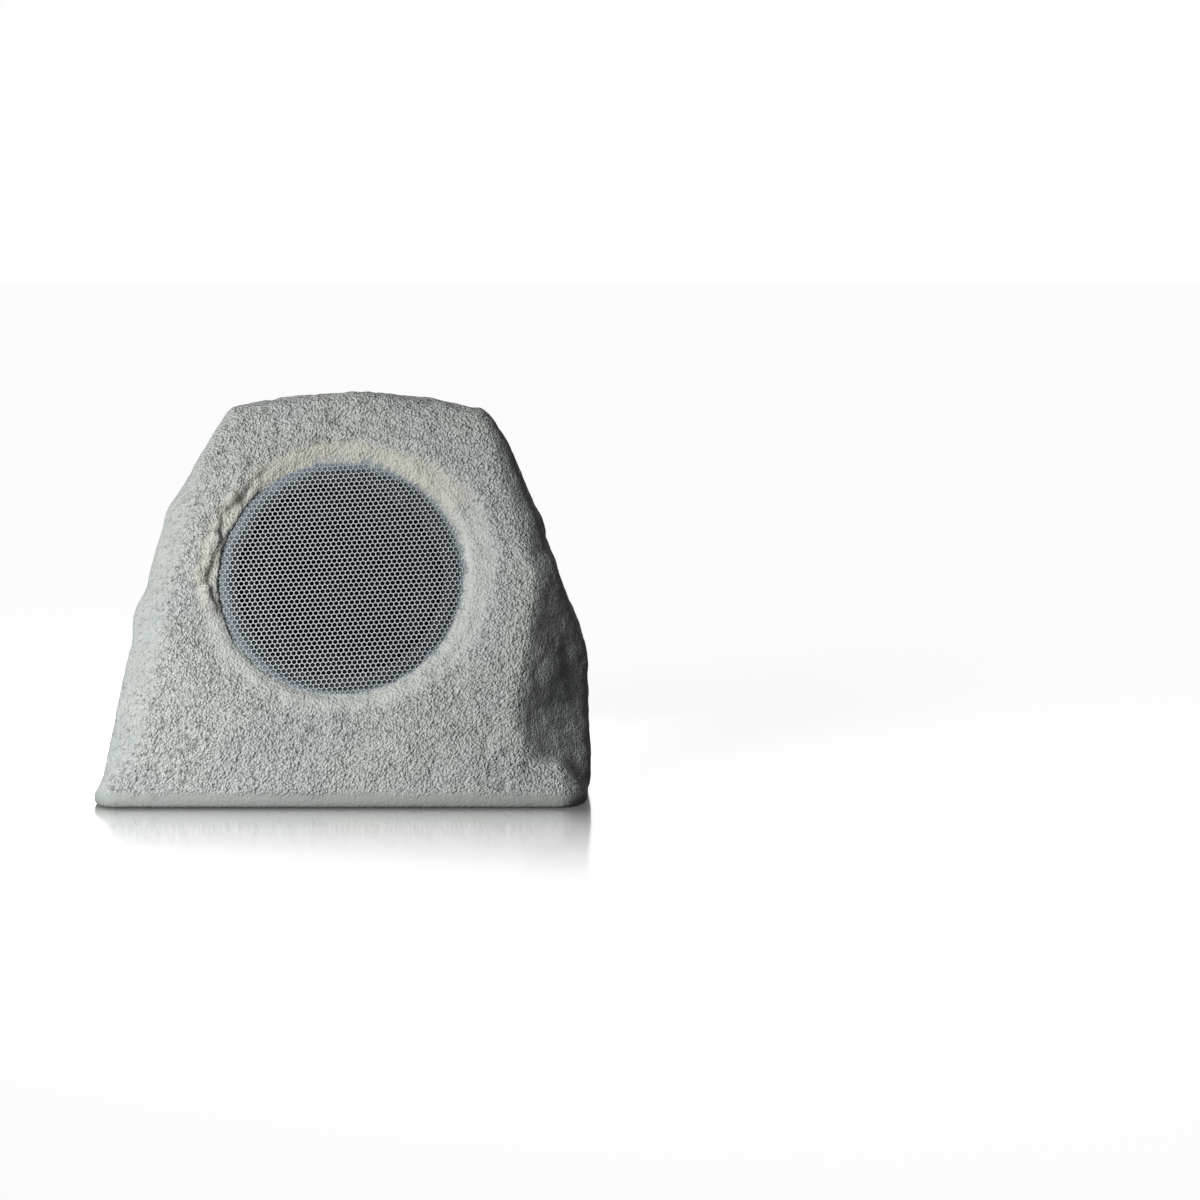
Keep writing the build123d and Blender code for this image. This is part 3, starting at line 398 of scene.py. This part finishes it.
def roughen(skin):
    points = vertexArray(skin, "co") * 1000
    normals = vertexArray(skin, "normal")
    across, up, level, reach = alongFace(points)
    bearing = bearingOf(across, up)
    onFace = smoothStep(0.5, 0.8, normals @ faceOut()) * (np.abs(level) < 12)

    # where the roughness fades: ledge under the grille, lip, panel pocket
    ledge = (reach < 67.5) & (level < -5.15) & (level > -20)
    lip = 1 - smoothStep(5.5, 10, points[:, 2] + 1.5 * cloudField(points, 9, 65.0))
    quiet = np.where(ledge | nearPanel(points), 0.0, 1.0) * (1 - 0.95 * lip)

    # smoother bands: left bevel, right facets, mortar ring
    bands = cloudField(points, 38, 7.7)
    leftBevel = smoothStep(0.25, 0.6, -normals[:, 0] - 0.1 + 0.15 * bands)
    rightFacets = smoothStep(0.3, 0.6, normals[:, 0] + 0.12 * bands)
    wide = 7 * bell(np.abs((bearing + 170) % 360 - 180), 0, 34)  # smeared wider on the right
    ring = onFace * (1 - smoothStep(72, 78, reach - wide + 3 * bands)) * smoothStep(60, 62, reach)
    smoothBand = np.clip(0.75 * leftBevel + 0.7 * rightFacets + 0.8 * ring, 0, 1)

    height = np.zeros(len(points))
    for order, (size, tall) in enumerate(rock["waves"]):
        share = 1 if size > 30 else 1 - 0.55 * smoothBand
        height += tall * share * cloudField(points, size, 3.1 * order)

    # pits over the grille and beside it
    below = bell(across, -5, 45) * bell(up, -78, 9)
    rugged = 0.45 * smoothStep(55, 75, up) + 0.35 * smoothStep(50, 66, -across) + 0.5 * below
    rugged = onFace * rugged
    patch = smoothStep(-0.1, 0.4, cloudField(points, 30, 21.0) + rugged) * (1 - 0.85 * smoothBand)
    pits = smoothStep(0.25, 0.6, cloudField(points, 4.0, 31.0)) * patch
    height -= 1.3 * pits

    # broken edge left of the grille, higher outside and cut back inside
    edge = table("crust", bearing) + 1.6 * cloudField(points, 6, 41.0) + 1.0 * cloudField(points, 3, 43.0)
    arc = onFace * smoothStep(116, 134, bearing) * (1 - smoothStep(190, 206, bearing))
    rubble = arc * bell(reach, 73, 9)
    arc *= np.clip(0.85 + 0.7 * cloudField(points, 14, 47.0), 0.4, 1)
    raised = smoothStep(-0.7, 0.7, reach - edge)
    fading = np.exp(-np.maximum(reach - edge, 0) / 13)
    height += arc * (2.3 * raised * fading - 0.6 * (1 - raised) * (reach > 66))
    height += rubble * (1.3 * cloudField(points, 5.5, 53.0) + 0.8 * cloudField(points, 3.2, 55.0))
    for lumpAcross, lumpUp, radius, tall in rock["lumps"]:
        height += onFace * tall * bell(np.hypot(across - lumpAcross, up - lumpUp), 0, radius)
    height += onFace * ring * 0.7 * cloudField(points, 11, 51.0)

    # steps in the outline: two on the left, a bulge over a notch on the right
    left = smoothStep(0.5, 0.85, -normals[:, 0]) * smoothStep(-60, -20, -np.abs(points[:, 1] + 25))
    right = smoothStep(0.45, 0.8, normals[:, 0]) * smoothStep(-60, -20, -np.abs(points[:, 1] + 20))
    for side, steps in ((left, "leftSteps"), (right, "rightSteps")):
        for high, width, rise in rock[steps]:
            height += side * rise * bell(points[:, 2], high, width)

    points += normals * (height * quiet)[:, None]
    points[:, 2] = np.maximum(points[:, 2], 0)
    skin.data.vertices.foreach_set("co", (points / 1000).ravel())
    # painted shade along the foot of the broken edge and in the rubble's low spots, stored with the pits
    crevice = arc * bell(reach, edge - 0.4, 0.9)
    crevice += rubble * smoothStep(0.2, 0.5, -cloudField(points, 3.2, 55.0))
    addField(skin, "ringBand", ring * (1 - 0.6 * arc))
    addField(skin, "cream", ring * smoothStep(-30, 55, up - 0.5 * across))
    addField(skin, "smoothBand", smoothBand)
    # sides marks where painted shade darkens the left bevel and the right facets
    addField(skin, "sides", np.clip(leftBevel + 0.5 * rightFacets, 0, 1) * (1 - ring))
    addField(skin, "hollow", np.clip(0.45 * pits + 0.6 * crevice, 0, 1))
    addField(skin, "pitZone", patch)
    addField(skin, "ledge", ledge)
    addField(skin, "lip", lip)
    skin.data.update()


def makeRockSkin():
    skin = sealedShell()
    inside = copyOf("rock_shell", "rockInside")
    tree = BVHTree.FromObject(skin, bpy.context.evaluated_depsgraph_get())
    _, _, level, reach = alongFace(faceArray(inside, "center") * 1000)
    seat = (reach > 52) & (reach < 74.5) & (level > -6.5)  # the grille's pocket lies under the skin's ring
    close = [tree.find_nearest(face.center)[3] < 0.0012 for face in inside.data.polygons]
    dropFaces(inside, seat | np.array(close))
    openUp(skin)
    wearEdges(skin)
    shapeRing(skin)
    roughen(skin)
    pickOnly(skin)
    bpy.ops.object.shade_smooth()
    print("rock skin,", len(skin.data.polygons), "faces, inside", len(inside.data.polygons))
    return skin, inside


def stoneCoat():
    coat = newShader("stoneCoat")
    place = coat.place()
    ring, cream, smooth = coat.field("ringBand"), coat.field("cream"), coat.field("smoothBand")
    hollow, ledge, pitZone = coat.field("hollow"), coat.field("ledge"), coat.field("pitZone")
    painted, lip, sides = coat.field("painted"), coat.field("lip"), coat.field("sides")
    turn = {"Vector": place, "Rotation": (0, math.radians(-52), 0), "Scale": (1.2, 1, 1)}
    slanted = coat.add("ShaderNodeMapping", {"vector_type": "TEXTURE"}, turn)
    sizes, tones = rock["grains"], rock["tones"]
    grain = coat.cloud(slanted, sizes["grain"], 3, 0.65)
    dimple = coat.cloud(slanted, sizes["dimple"], 3, 0.6)
    grit = coat.cells(slanted, sizes["grit"])
    crumb = coat.cloud(place, sizes["crumb"], 3, 0.6)
    mottle = coat.cloud(place, sizes["mottle"], 4, 0.6)
    broad = coat.cloud(place, sizes["broad"], 3, 0.5)
    pits = 1 - coat.step(coat.cells(slanted, sizes["pit"]) + grain * 0.5, 0.32, 0.56)
    pits = pits * pitZone * coat.step(crumb, 0.48, 0.6) * (1 - lip)
    rough = (1 - smooth * 0.65) * (1 - lip * 0.9)
    height = (grain * 0.4 + dimple * 0.5 + crumb * 0.65 - grit * 0.5) * rough - pits * 0.5
    stone = coat.blend(coat.step(broad, 0.38, 0.62), tones["cool"], tones["warm"])
    # painted shade: the sides tone darkens the left bevel and the right facets
    stone = coat.blend(sides * 0.6, stone, tones["sides"])
    stone = coat.blend(coat.step(mottle, 0.48, 0.7) * 0.35, stone, tones["mottle"])
    # painted highlight: light flecks on the tops of the raised grain
    grainHighlights = (1 - coat.step(grit, 0.12, 0.42)) * coat.step(dimple, 0.42, 0.6) * rough
    stone = coat.blend(grainHighlights * 0.5, stone, tones["grainHighlights"])
    cloudy = coat.step(mottle, 0.3, 0.55)
    stone = coat.blend(ring * (cloudy * 0.3 + 0.35), stone, tones["ring"])
    stone = coat.blend(cream * (cloudy * 0.35 + 0.2), stone, tones["cream"])
    stone = coat.blend(lip * 0.8, stone, tones["lip"])
    # painted shade: dark flecks in the low spots between the grains
    low = coat.step(grit, 0.36, 0.66) * (1 - coat.step(dimple, 0.4, 0.56)) * rough
    stone = coat.blend(low * 0.68, stone, tones["low"])
    # painted shade in the pits and crevices
    stone = coat.blend(pits.most(hollow) * 0.6, stone, tones["hollow"])
    under = coat.blend(painted, tones["bare"], tones["painted"])
    stone = coat.blend(ledge, stone, under)
    return coat.finish(
        Base_Color=stone,
        Roughness=0.92 - ring * 0.12,
        Normal=coat.bump(height, 0.0031),
        Specular_IOR_Level=0.2,
    )


def rawResin():
    resin = newShader("rawResin")
    speckle = resin.cloud(resin.place(), 0.0015, 3)
    tone = resin.blend(speckle, (0.10, 0.105, 0.10), (0.17, 0.175, 0.17))
    return resin.finish(Base_Color=tone, Roughness=0.75, Normal=resin.bump(speckle, 0.0003))


skin, inside = makeRockSkin()
skin.data.materials.append(stoneCoat())
inside.data.materials.append(rawResin())
pickOnly(skin, inside)
bpy.ops.object.join()
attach(skin, "housing")
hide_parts("rock_shell", "grille_bead")


# grille: perforated sheet, one cell repeated

grille = {
    "pitch": 0.002706,
    "hole": 0.00242,
    "thick": 0.0008,
    "level": -0.005,  # front of the sheet, below the face
    "reach": 0.0686,
    "turn": 3.8,
    "columns": 86,
    "rows": 60,
}


def selectLoop(piece, radius, level, slack=0.00002):
    endEdit()
    for vertex in piece.data.vertices:
        flat = math.hypot(vertex.co.x, vertex.co.y)
        vertex.select = abs(flat - radius) < slack and abs(vertex.co.z - level) < slack
    bpy.ops.object.mode_set(mode="EDIT")
    bpy.ops.mesh.select_mode(type="VERT")
    bpy.ops.mesh.select_mode(type="EDGE")


def makeGrille():
    pitch, hole, thick = grille["pitch"], grille["hole"] / 2, grille["thick"]
    columns, rows = grille["columns"], grille["rows"]
    rowPitch = pitch * math.sqrt(3) / 2
    pickNone()
    bpy.ops.mesh.primitive_circle_add(vertices=6, radius=pitch / math.sqrt(3), location=(0, 0, 0))
    sheet = bpy.context.object
    sheet.name = "grilleSheet"
    startEdit(sheet)
    bpy.ops.mesh.subdivide(number_cuts=1)
    bpy.ops.mesh.primitive_circle_add(vertices=12, radius=hole, location=(0, 0, 0))
    bpy.ops.mesh.select_all(action="SELECT")
    bpy.ops.mesh.bridge_edge_loops()
    selectLoop(sheet, hole, 0)
    bpy.ops.mesh.extrude_region_move(TRANSFORM_OT_translate={"value": (0, 0, -thick)})
    endEdit()
    for count, offset in ((columns, (pitch, 0, 0)), (rows, (pitch / 2, rowPitch, 0))):
        applyModifier(
            sheet, "ARRAY", count=count, use_relative_offset=False,
            use_constant_offset=True, constant_offset_displace=offset,
        )
    middle = Vector((pitch * (columns / 2 + rows / 4), rowPitch / 2 * rows, 0))
    turn = Matrix.Rotation(math.radians(grille["turn"]), 4, "Z")
    sheet.data.transform(turn @ Matrix.Translation(-middle))
    centres = faceArray(sheet, "center")
    dropFaces(sheet, np.hypot(centres[:, 0], centres[:, 1]) > grille["reach"])
    startEdit(sheet)
    bpy.ops.mesh.remove_doubles(threshold=0.00002)
    bpy.ops.mesh.normals_make_consistent(inside=False)
    endEdit()
    sheet.data.transform(facePlacement(grille["level"]))
    print("grille,", len(sheet.data.polygons), "faces")
    return sheet


def grillePaint():
    paint = newShader("grillePaint")
    place = paint.place()
    fine = paint.cloud(place, 0.0006, 2)
    patches = paint.cloud(place, 0.02, 3)
    specks = paint.step(paint.cloud(place, 0.0011, 2, 0.6), 0.66, 0.72)
    tone = paint.blend(patches, (0.33, 0.37, 0.40), (0.41, 0.45, 0.48))
    middle = tuple(value / 1000 for value in rock["middle"])
    away = paint.add("ShaderNodeVectorMath", {"operation": "DISTANCE"}, {0: place, 1: middle}, 1)
    washed = paint.step(away + patches * 0.006, 0.060, 0.066)  # thin paint at the rim
    tone = paint.blend(washed * 0.8, tone, (0.255, 0.295, 0.33))
    tone = paint.blend(specks * paint.step(patches, 0.5, 0.65), tone, (0.85, 0.87, 0.88))
    return paint.finish(Base_Color=tone, Roughness=0.5, Normal=paint.bump(fine, 0.00012))


# hole walls in near black: painted shade inside the grille's holes
def shadedHoleWalls():
    edge = newShader("holeWallShade")
    shadeNoise = edge.cloud(edge.place(), 0.001, 2)
    tone = edge.blend(shadeNoise, (0.012, 0.013, 0.014), (0.03, 0.032, 0.034))
    return edge.finish(Base_Color=tone, Roughness=0.7, Specular_IOR_Level=0.1)


sheet = makeGrille()
settle(sheet, "housing", "grille_steel", grillePaint(), "grille")
# the walls of the holes take the painted shade
sheet.data.materials.append(shadedHoleWalls())
walls = np.abs(faceArray(sheet, "normal") @ faceOut()) < 0.5
sheet.data.polygons.foreach_set("material_index", walls.astype(np.int32))


# finishes of the CAD nodes that stay

finishes = {  # colour, second colour, roughness, metal, grain size and depth in metres
    "black_plastic": ((0.030, 0.031, 0.032), (0.045, 0.046, 0.047), 0.55, 0, 0.0007, 0.00012),
    "black_rubber": ((0.012, 0.012, 0.012), (0.022, 0.022, 0.022), 0.8, 0, 0.0012, 0.0001),
    "screw_steel": ((0.26, 0.26, 0.27), (0.36, 0.36, 0.36), 0.4, 1, 0.0006, 0.00003),
    "basket_steel": ((0.02, 0.02, 0.02), (0.035, 0.035, 0.036), 0.45, 0, 0.001, 0.00006),
    # cone_plastic is darker than a real black cone: painted shade seen through the grille
    "cone_plastic": ((0.004, 0.004, 0.0043), (0.009, 0.009, 0.0095), 0.8, 0, 0.002, 0.0001),
    "former_aluminium": ((0.70, 0.71, 0.72), (0.80, 0.80, 0.81), 0.3, 1, 0.0015, 0.00003),
    "copper": ((0.62, 0.25, 0.11), (0.78, 0.38, 0.20), 0.3, 1, 0.0004, 0.00006),
    "spider_cloth": ((0.50, 0.36, 0.14), (0.62, 0.47, 0.22), 0.85, 0, 0.0008, 0.0002),
    "zinc_steel": ((0.52, 0.52, 0.50), (0.66, 0.65, 0.60), 0.35, 1, 0.003, 0.00004),
    "ferrite": ((0.035, 0.035, 0.037), (0.06, 0.06, 0.062), 0.6, 0, 0.0012, 0.0001),
    "board_green": ((0.012, 0.10, 0.04), (0.02, 0.16, 0.07), 0.4, 0, 0.002, 0.00004),
    "sink_aluminium": ((0.62, 0.63, 0.64), (0.74, 0.75, 0.76), 0.38, 1, 0.001, 0.00004),
    "capacitor_sleeve": ((0.012, 0.016, 0.04), (0.02, 0.025, 0.06), 0.3, 0, 0.002, 0.00003),
    "white_plastic": ((0.66, 0.65, 0.60), (0.74, 0.73, 0.69), 0.45, 0, 0.001, 0.00005),
    "battery_wrap": ((0.02, 0.07, 0.25), (0.03, 0.10, 0.33), 0.3, 0, 0.004, 0.00008),
    "button_plastic": ((0.085, 0.087, 0.09), (0.11, 0.112, 0.115), 0.5, 0, 0.0006, 0.00006),
    "lens_plastic": ((0.72, 0.80, 0.84), (0.80, 0.86, 0.88), 0.2, 0, 0.002, 0.00003),
    "socket_plastic": ((0.02, 0.02, 0.021), (0.03, 0.03, 0.031), 0.35, 0, 0.001, 0.00004),
    "pin_brass": ((0.70, 0.52, 0.22), (0.80, 0.62, 0.30), 0.28, 1, 0.0006, 0.00002),
    "cover_rubber": ((0.035, 0.036, 0.037), (0.05, 0.051, 0.052), 0.65, 0, 0.0007, 0.00008),
    "lead_jacket": ((0.25, 0.02, 0.02), (0.34, 0.035, 0.03), 0.5, 0, 0.001, 0.00005),
}


def plainFinish(name, first, second, rough, metal, grainSize, grainDepth):
    look = newShader(name)
    place = look.place()
    grain = look.cloud(place, grainSize, 3)
    wear = look.cloud(place, 0.018, 4, 0.6)
    tone = look.blend(look.step(wear, 0.35, 0.65) * 0.7 + grain * 0.3, first, second)
    gloss = rough - 0.08 + wear * 0.16
    shine = 0.5 if rough < 0.7 else 0.02  # matt cloth, card and rubber
    return look.finish(
        Base_Color=tone,
        Roughness=gloss,
        Metallic=metal,
        Normal=look.bump(grain, grainDepth),
        Specular_IOR_Level=shine,
    )


looks = {name: plainFinish(name, *values) for name, values in finishes.items()}
slotOf = {part["node"]: part["material_slot"] for part in frame["record"]["subparts"]}
for nodeName, node in nodes.items():
    if slotOf[nodeName] in looks:
        node.data.materials.clear()
        node.data.materials.append(looks[slotOf[nodeName]])
print("finishes,", len(looks))


# moulded pieces with softened edges

softEdges = {  # node: body, bevel in metres
    "control_panel": ("housing", 0.0004),
    "power_button": ("power_key", 0.0005),
    "link_button": ("link_key", 0.0005),
    "volume_down_button": ("volume_down_key", 0.0005),
    "volume_up_button": ("volume_up_key", 0.0005),
    "socket_cover": ("cover", 0.0003),
    "base_plate": ("housing", 0.0004),
    "status_lens": ("housing", 0.0002),
}


def soften(nodeName, body, width):
    piece = copyOf(nodeName, nodeName + "Moulded")
    startEdit(piece)
    bpy.ops.mesh.dissolve_limited(angle_limit=math.radians(2))
    endEdit()
    roundEdges(piece, width, 2, 40)
    pickOnly(piece)
    bpy.ops.object.shade_smooth_by_angle(angle=math.radians(35))
    applyModifier(piece, "WEIGHTED_NORMAL", keep_sharp=True)
    settle(piece, body, slotOf[nodeName], looks[slotOf[nodeName]], nodeName)


for nodeName, (body, width) in softEdges.items():
    soften(nodeName, body, width)
print("moulded pieces,", len(softEdges))


# screws with round heads and cross recesses

screws = {  # node: outward direction, head and its height, shank and its length, mm
    "panel_screws": ((0, 0.9563, 0.2924), 4.4, 1.4, 2.2, 8.0),
    "base_screws": ((0, 0, -1), 6.6, 1.6, 3.0, 12.0),
}


def addSolid(add, scale=(1, 1, 1), **settings):
    pickNone()
    add(**settings)
    solid = bpy.context.object
    solid.scale = scale
    bpy.ops.object.transform_apply(location=True, rotation=True, scale=True)
    return solid


def addRod(sides, wide, long, middle):
    add = bpy.ops.mesh.primitive_cylinder_add
    return addSolid(add, vertices=sides, radius=wide / 2, depth=long, location=(0, 0, middle))


def oneScrew(head, tall, shank, length):
    screw = addRod(24, head, tall, tall / 2)
    roundEdges(screw, tall * 0.35, 3, 60)
    for turn in (0, math.pi / 2):
        size = (head * 0.6, head * 0.13, tall)
        place = {"location": (0, 0, tall), "rotation": (0, 0, turn)}
        cutter = addSolid(bpy.ops.mesh.primitive_cube_add, size, size=1, **place)
        applyModifier(screw, "BOOLEAN", operation="DIFFERENCE", object=cutter, solver="EXACT")
        bpy.data.objects.remove(cutter)
    stem = addRod(12, shank, length, -length / 2)
    pickOnly(screw, stem)
    bpy.ops.object.join()
    return screw


def makeScrews(nodeName, out, *sizes):
    head, tall, shank, length = (size / 1000 for size in sizes)
    points = vertexArray(nodes[nodeName], "co")
    rise = points @ np.array(out)
    tops = points[rise > rise.max() - 0.0001]
    corners = np.stack([tops[:, 0] > 0, tops[:, 1] > tops[:, 1].mean() + 0.01], 1) @ np.array((1, 2))
    pattern = oneScrew(head, tall, shank, length)
    copies = []
    for corner in np.unique(corners):
        copy = pattern.copy()
        copy.data = pattern.data.copy()
        bpy.context.scene.collection.objects.link(copy)
        seat = Vector(tops[corners == corner].mean(0)) - Vector(out) * tall
        turn = Vector(out).to_track_quat("Z", "Y").to_matrix().to_4x4()
        copy.data.transform(Matrix.Translation(seat) @ turn @ Matrix.Rotation(0.4 + corner, 4, "Z"))
        copies.append(copy)
    bpy.data.objects.remove(pattern)
    pickOnly(*copies)
    bpy.ops.object.join()
    copies[0].name = nodeName + "Turned"
    bpy.ops.object.shade_smooth_by_angle(angle=math.radians(35))
    settle(copies[0], "housing", slotOf[nodeName], looks[slotOf[nodeName]], nodeName)
    print(nodeName, len(copies))


for nodeName, values in screws.items():
    makeScrews(nodeName, *values)


# floor, light and camera

stage = {
    "floor": 10.0,
    "shade": (0.3, 0.3, 0.3),
    "underShade": (0.07, 0.07, 0.07),  # floor as the object's own bounce light sees it
    "gloss": 0.9,
    "halfSize": (0.127, 0.11),  # the object's footprint, where the reflection is strongest
    "glossReach": 0.21,
    "glow": 0.82,
    "ambient": 0.035,
    "cameraPlace": (0.13235, -1.89754, 0.35823),
    "cameraDown": 8.0,
    "lens": 107.69,
}

lamps = {  # kind, place, aimed at, strength, and angle in degrees or size in metres
    "keyLight": ("SUN", (-0.60, -0.65, 0.50), (0, 0, 0), 1.56, 24),
    "backLight": ("SUN", (-0.40, 0.80, 0.45), (0, 0, 0), 1.5, 50),
    "softBox": ("AREA", (-0.27, -0.40, 0.22), (0.0, -0.06, 0.09), 2.5, 0.3),
}


def raysOf(shader, kind):
    return shader.add("ShaderNodeLightPath", out=f"Is {kind} Ray")


def seenRays(shader):
    mirrored = raysOf(shader, "Glossy").most(raysOf(shader, "Transmission"))
    return raysOf(shader, "Camera").most(mirrored)


def makeStage():
    pickNone()
    bpy.ops.mesh.primitive_plane_add(size=stage["floor"], location=(0, 0, 0))
    floor = bpy.context.object
    floor.name = "studioFloor"
    paper = newShader("floorPaper")
    matt = paper.add("ShaderNodeBsdfDiffuse", {}, {"Color": colour(stage["shade"])})
    glow = paper.add("ShaderNodeEmission", {}, {"Strength": seenRays(paper) * stage["glow"]})
    lit = paper.add("ShaderNodeAddShader", {}, {0: matt, 1: glow})
    sheen = paper.add("ShaderNodeBsdfGlossy", {}, {"Color": (1, 1, 1, 1), "Roughness": 0.12})
    across = paper.add("ShaderNodeSeparateXYZ", {}, {0: paper.place()}, 0)
    deep = paper.add("ShaderNodeSeparateXYZ", {}, {0: paper.place()}, 1)
    halfWide, halfDeep = stage["halfSize"]
    away = ((across * across) ** 0.5 - halfWide).most((deep * deep) ** 0.5 - halfDeep)
    near = paper.add("ShaderNodeMapRange", {}, {0: away, 1: stage["glossReach"], 2: 0.0})
    mirror = near ** 1.6 * stage["gloss"] * raysOf(paper, "Camera")
    both = paper.add("ShaderNodeMixShader", {}, {0: mirror, 1: lit, 2: sheen})
    dull = paper.add("ShaderNodeBsdfDiffuse", {}, {"Color": colour(stage["underShade"])})
    seen = paper.add("ShaderNodeMixShader", {}, {0: seenRays(paper), 1: dull, 2: both})
    paper.add("ShaderNodeOutputMaterial", {}, {"Surface": seen})
    floor.data.materials.append(paper.owner)

    world = bpy.data.worlds.new("studioWorld")
    bpy.context.scene.world = world
    sky = Shader(world)
    level = stage["ambient"] + seenRays(sky) * (1 - stage["ambient"])
    light = sky.add("ShaderNodeBackground", {}, {"Color": (1, 1, 1, 1), "Strength": level})
    sky.add("ShaderNodeOutputWorld", {}, {"Surface": light})

    for name, (kind, place, aim, strength, size) in lamps.items():
        turn = (Vector(place) - Vector(aim)).to_track_quat("Z", "Y").to_euler()
        bpy.ops.object.light_add(type=kind, location=place, rotation=turn)
        lamp = bpy.context.object
        lamp.name = name
        lamp.visible_camera = False
        lamp.data.energy = strength
        if kind == "SUN":
            lamp.data.angle = math.radians(size)
        else:
            lamp.data.size = size

    tilt = math.radians(90 - stage["cameraDown"])
    bpy.ops.object.camera_add(location=stage["cameraPlace"], rotation=(tilt, 0, 0))
    camera = bpy.context.object
    camera.data.lens = stage["lens"]
    camera.data.sensor_width = 36
    bpy.context.scene.camera = camera
    bpy.context.scene.view_settings.view_transform = "Standard"
    print("stage set")


makeStage()
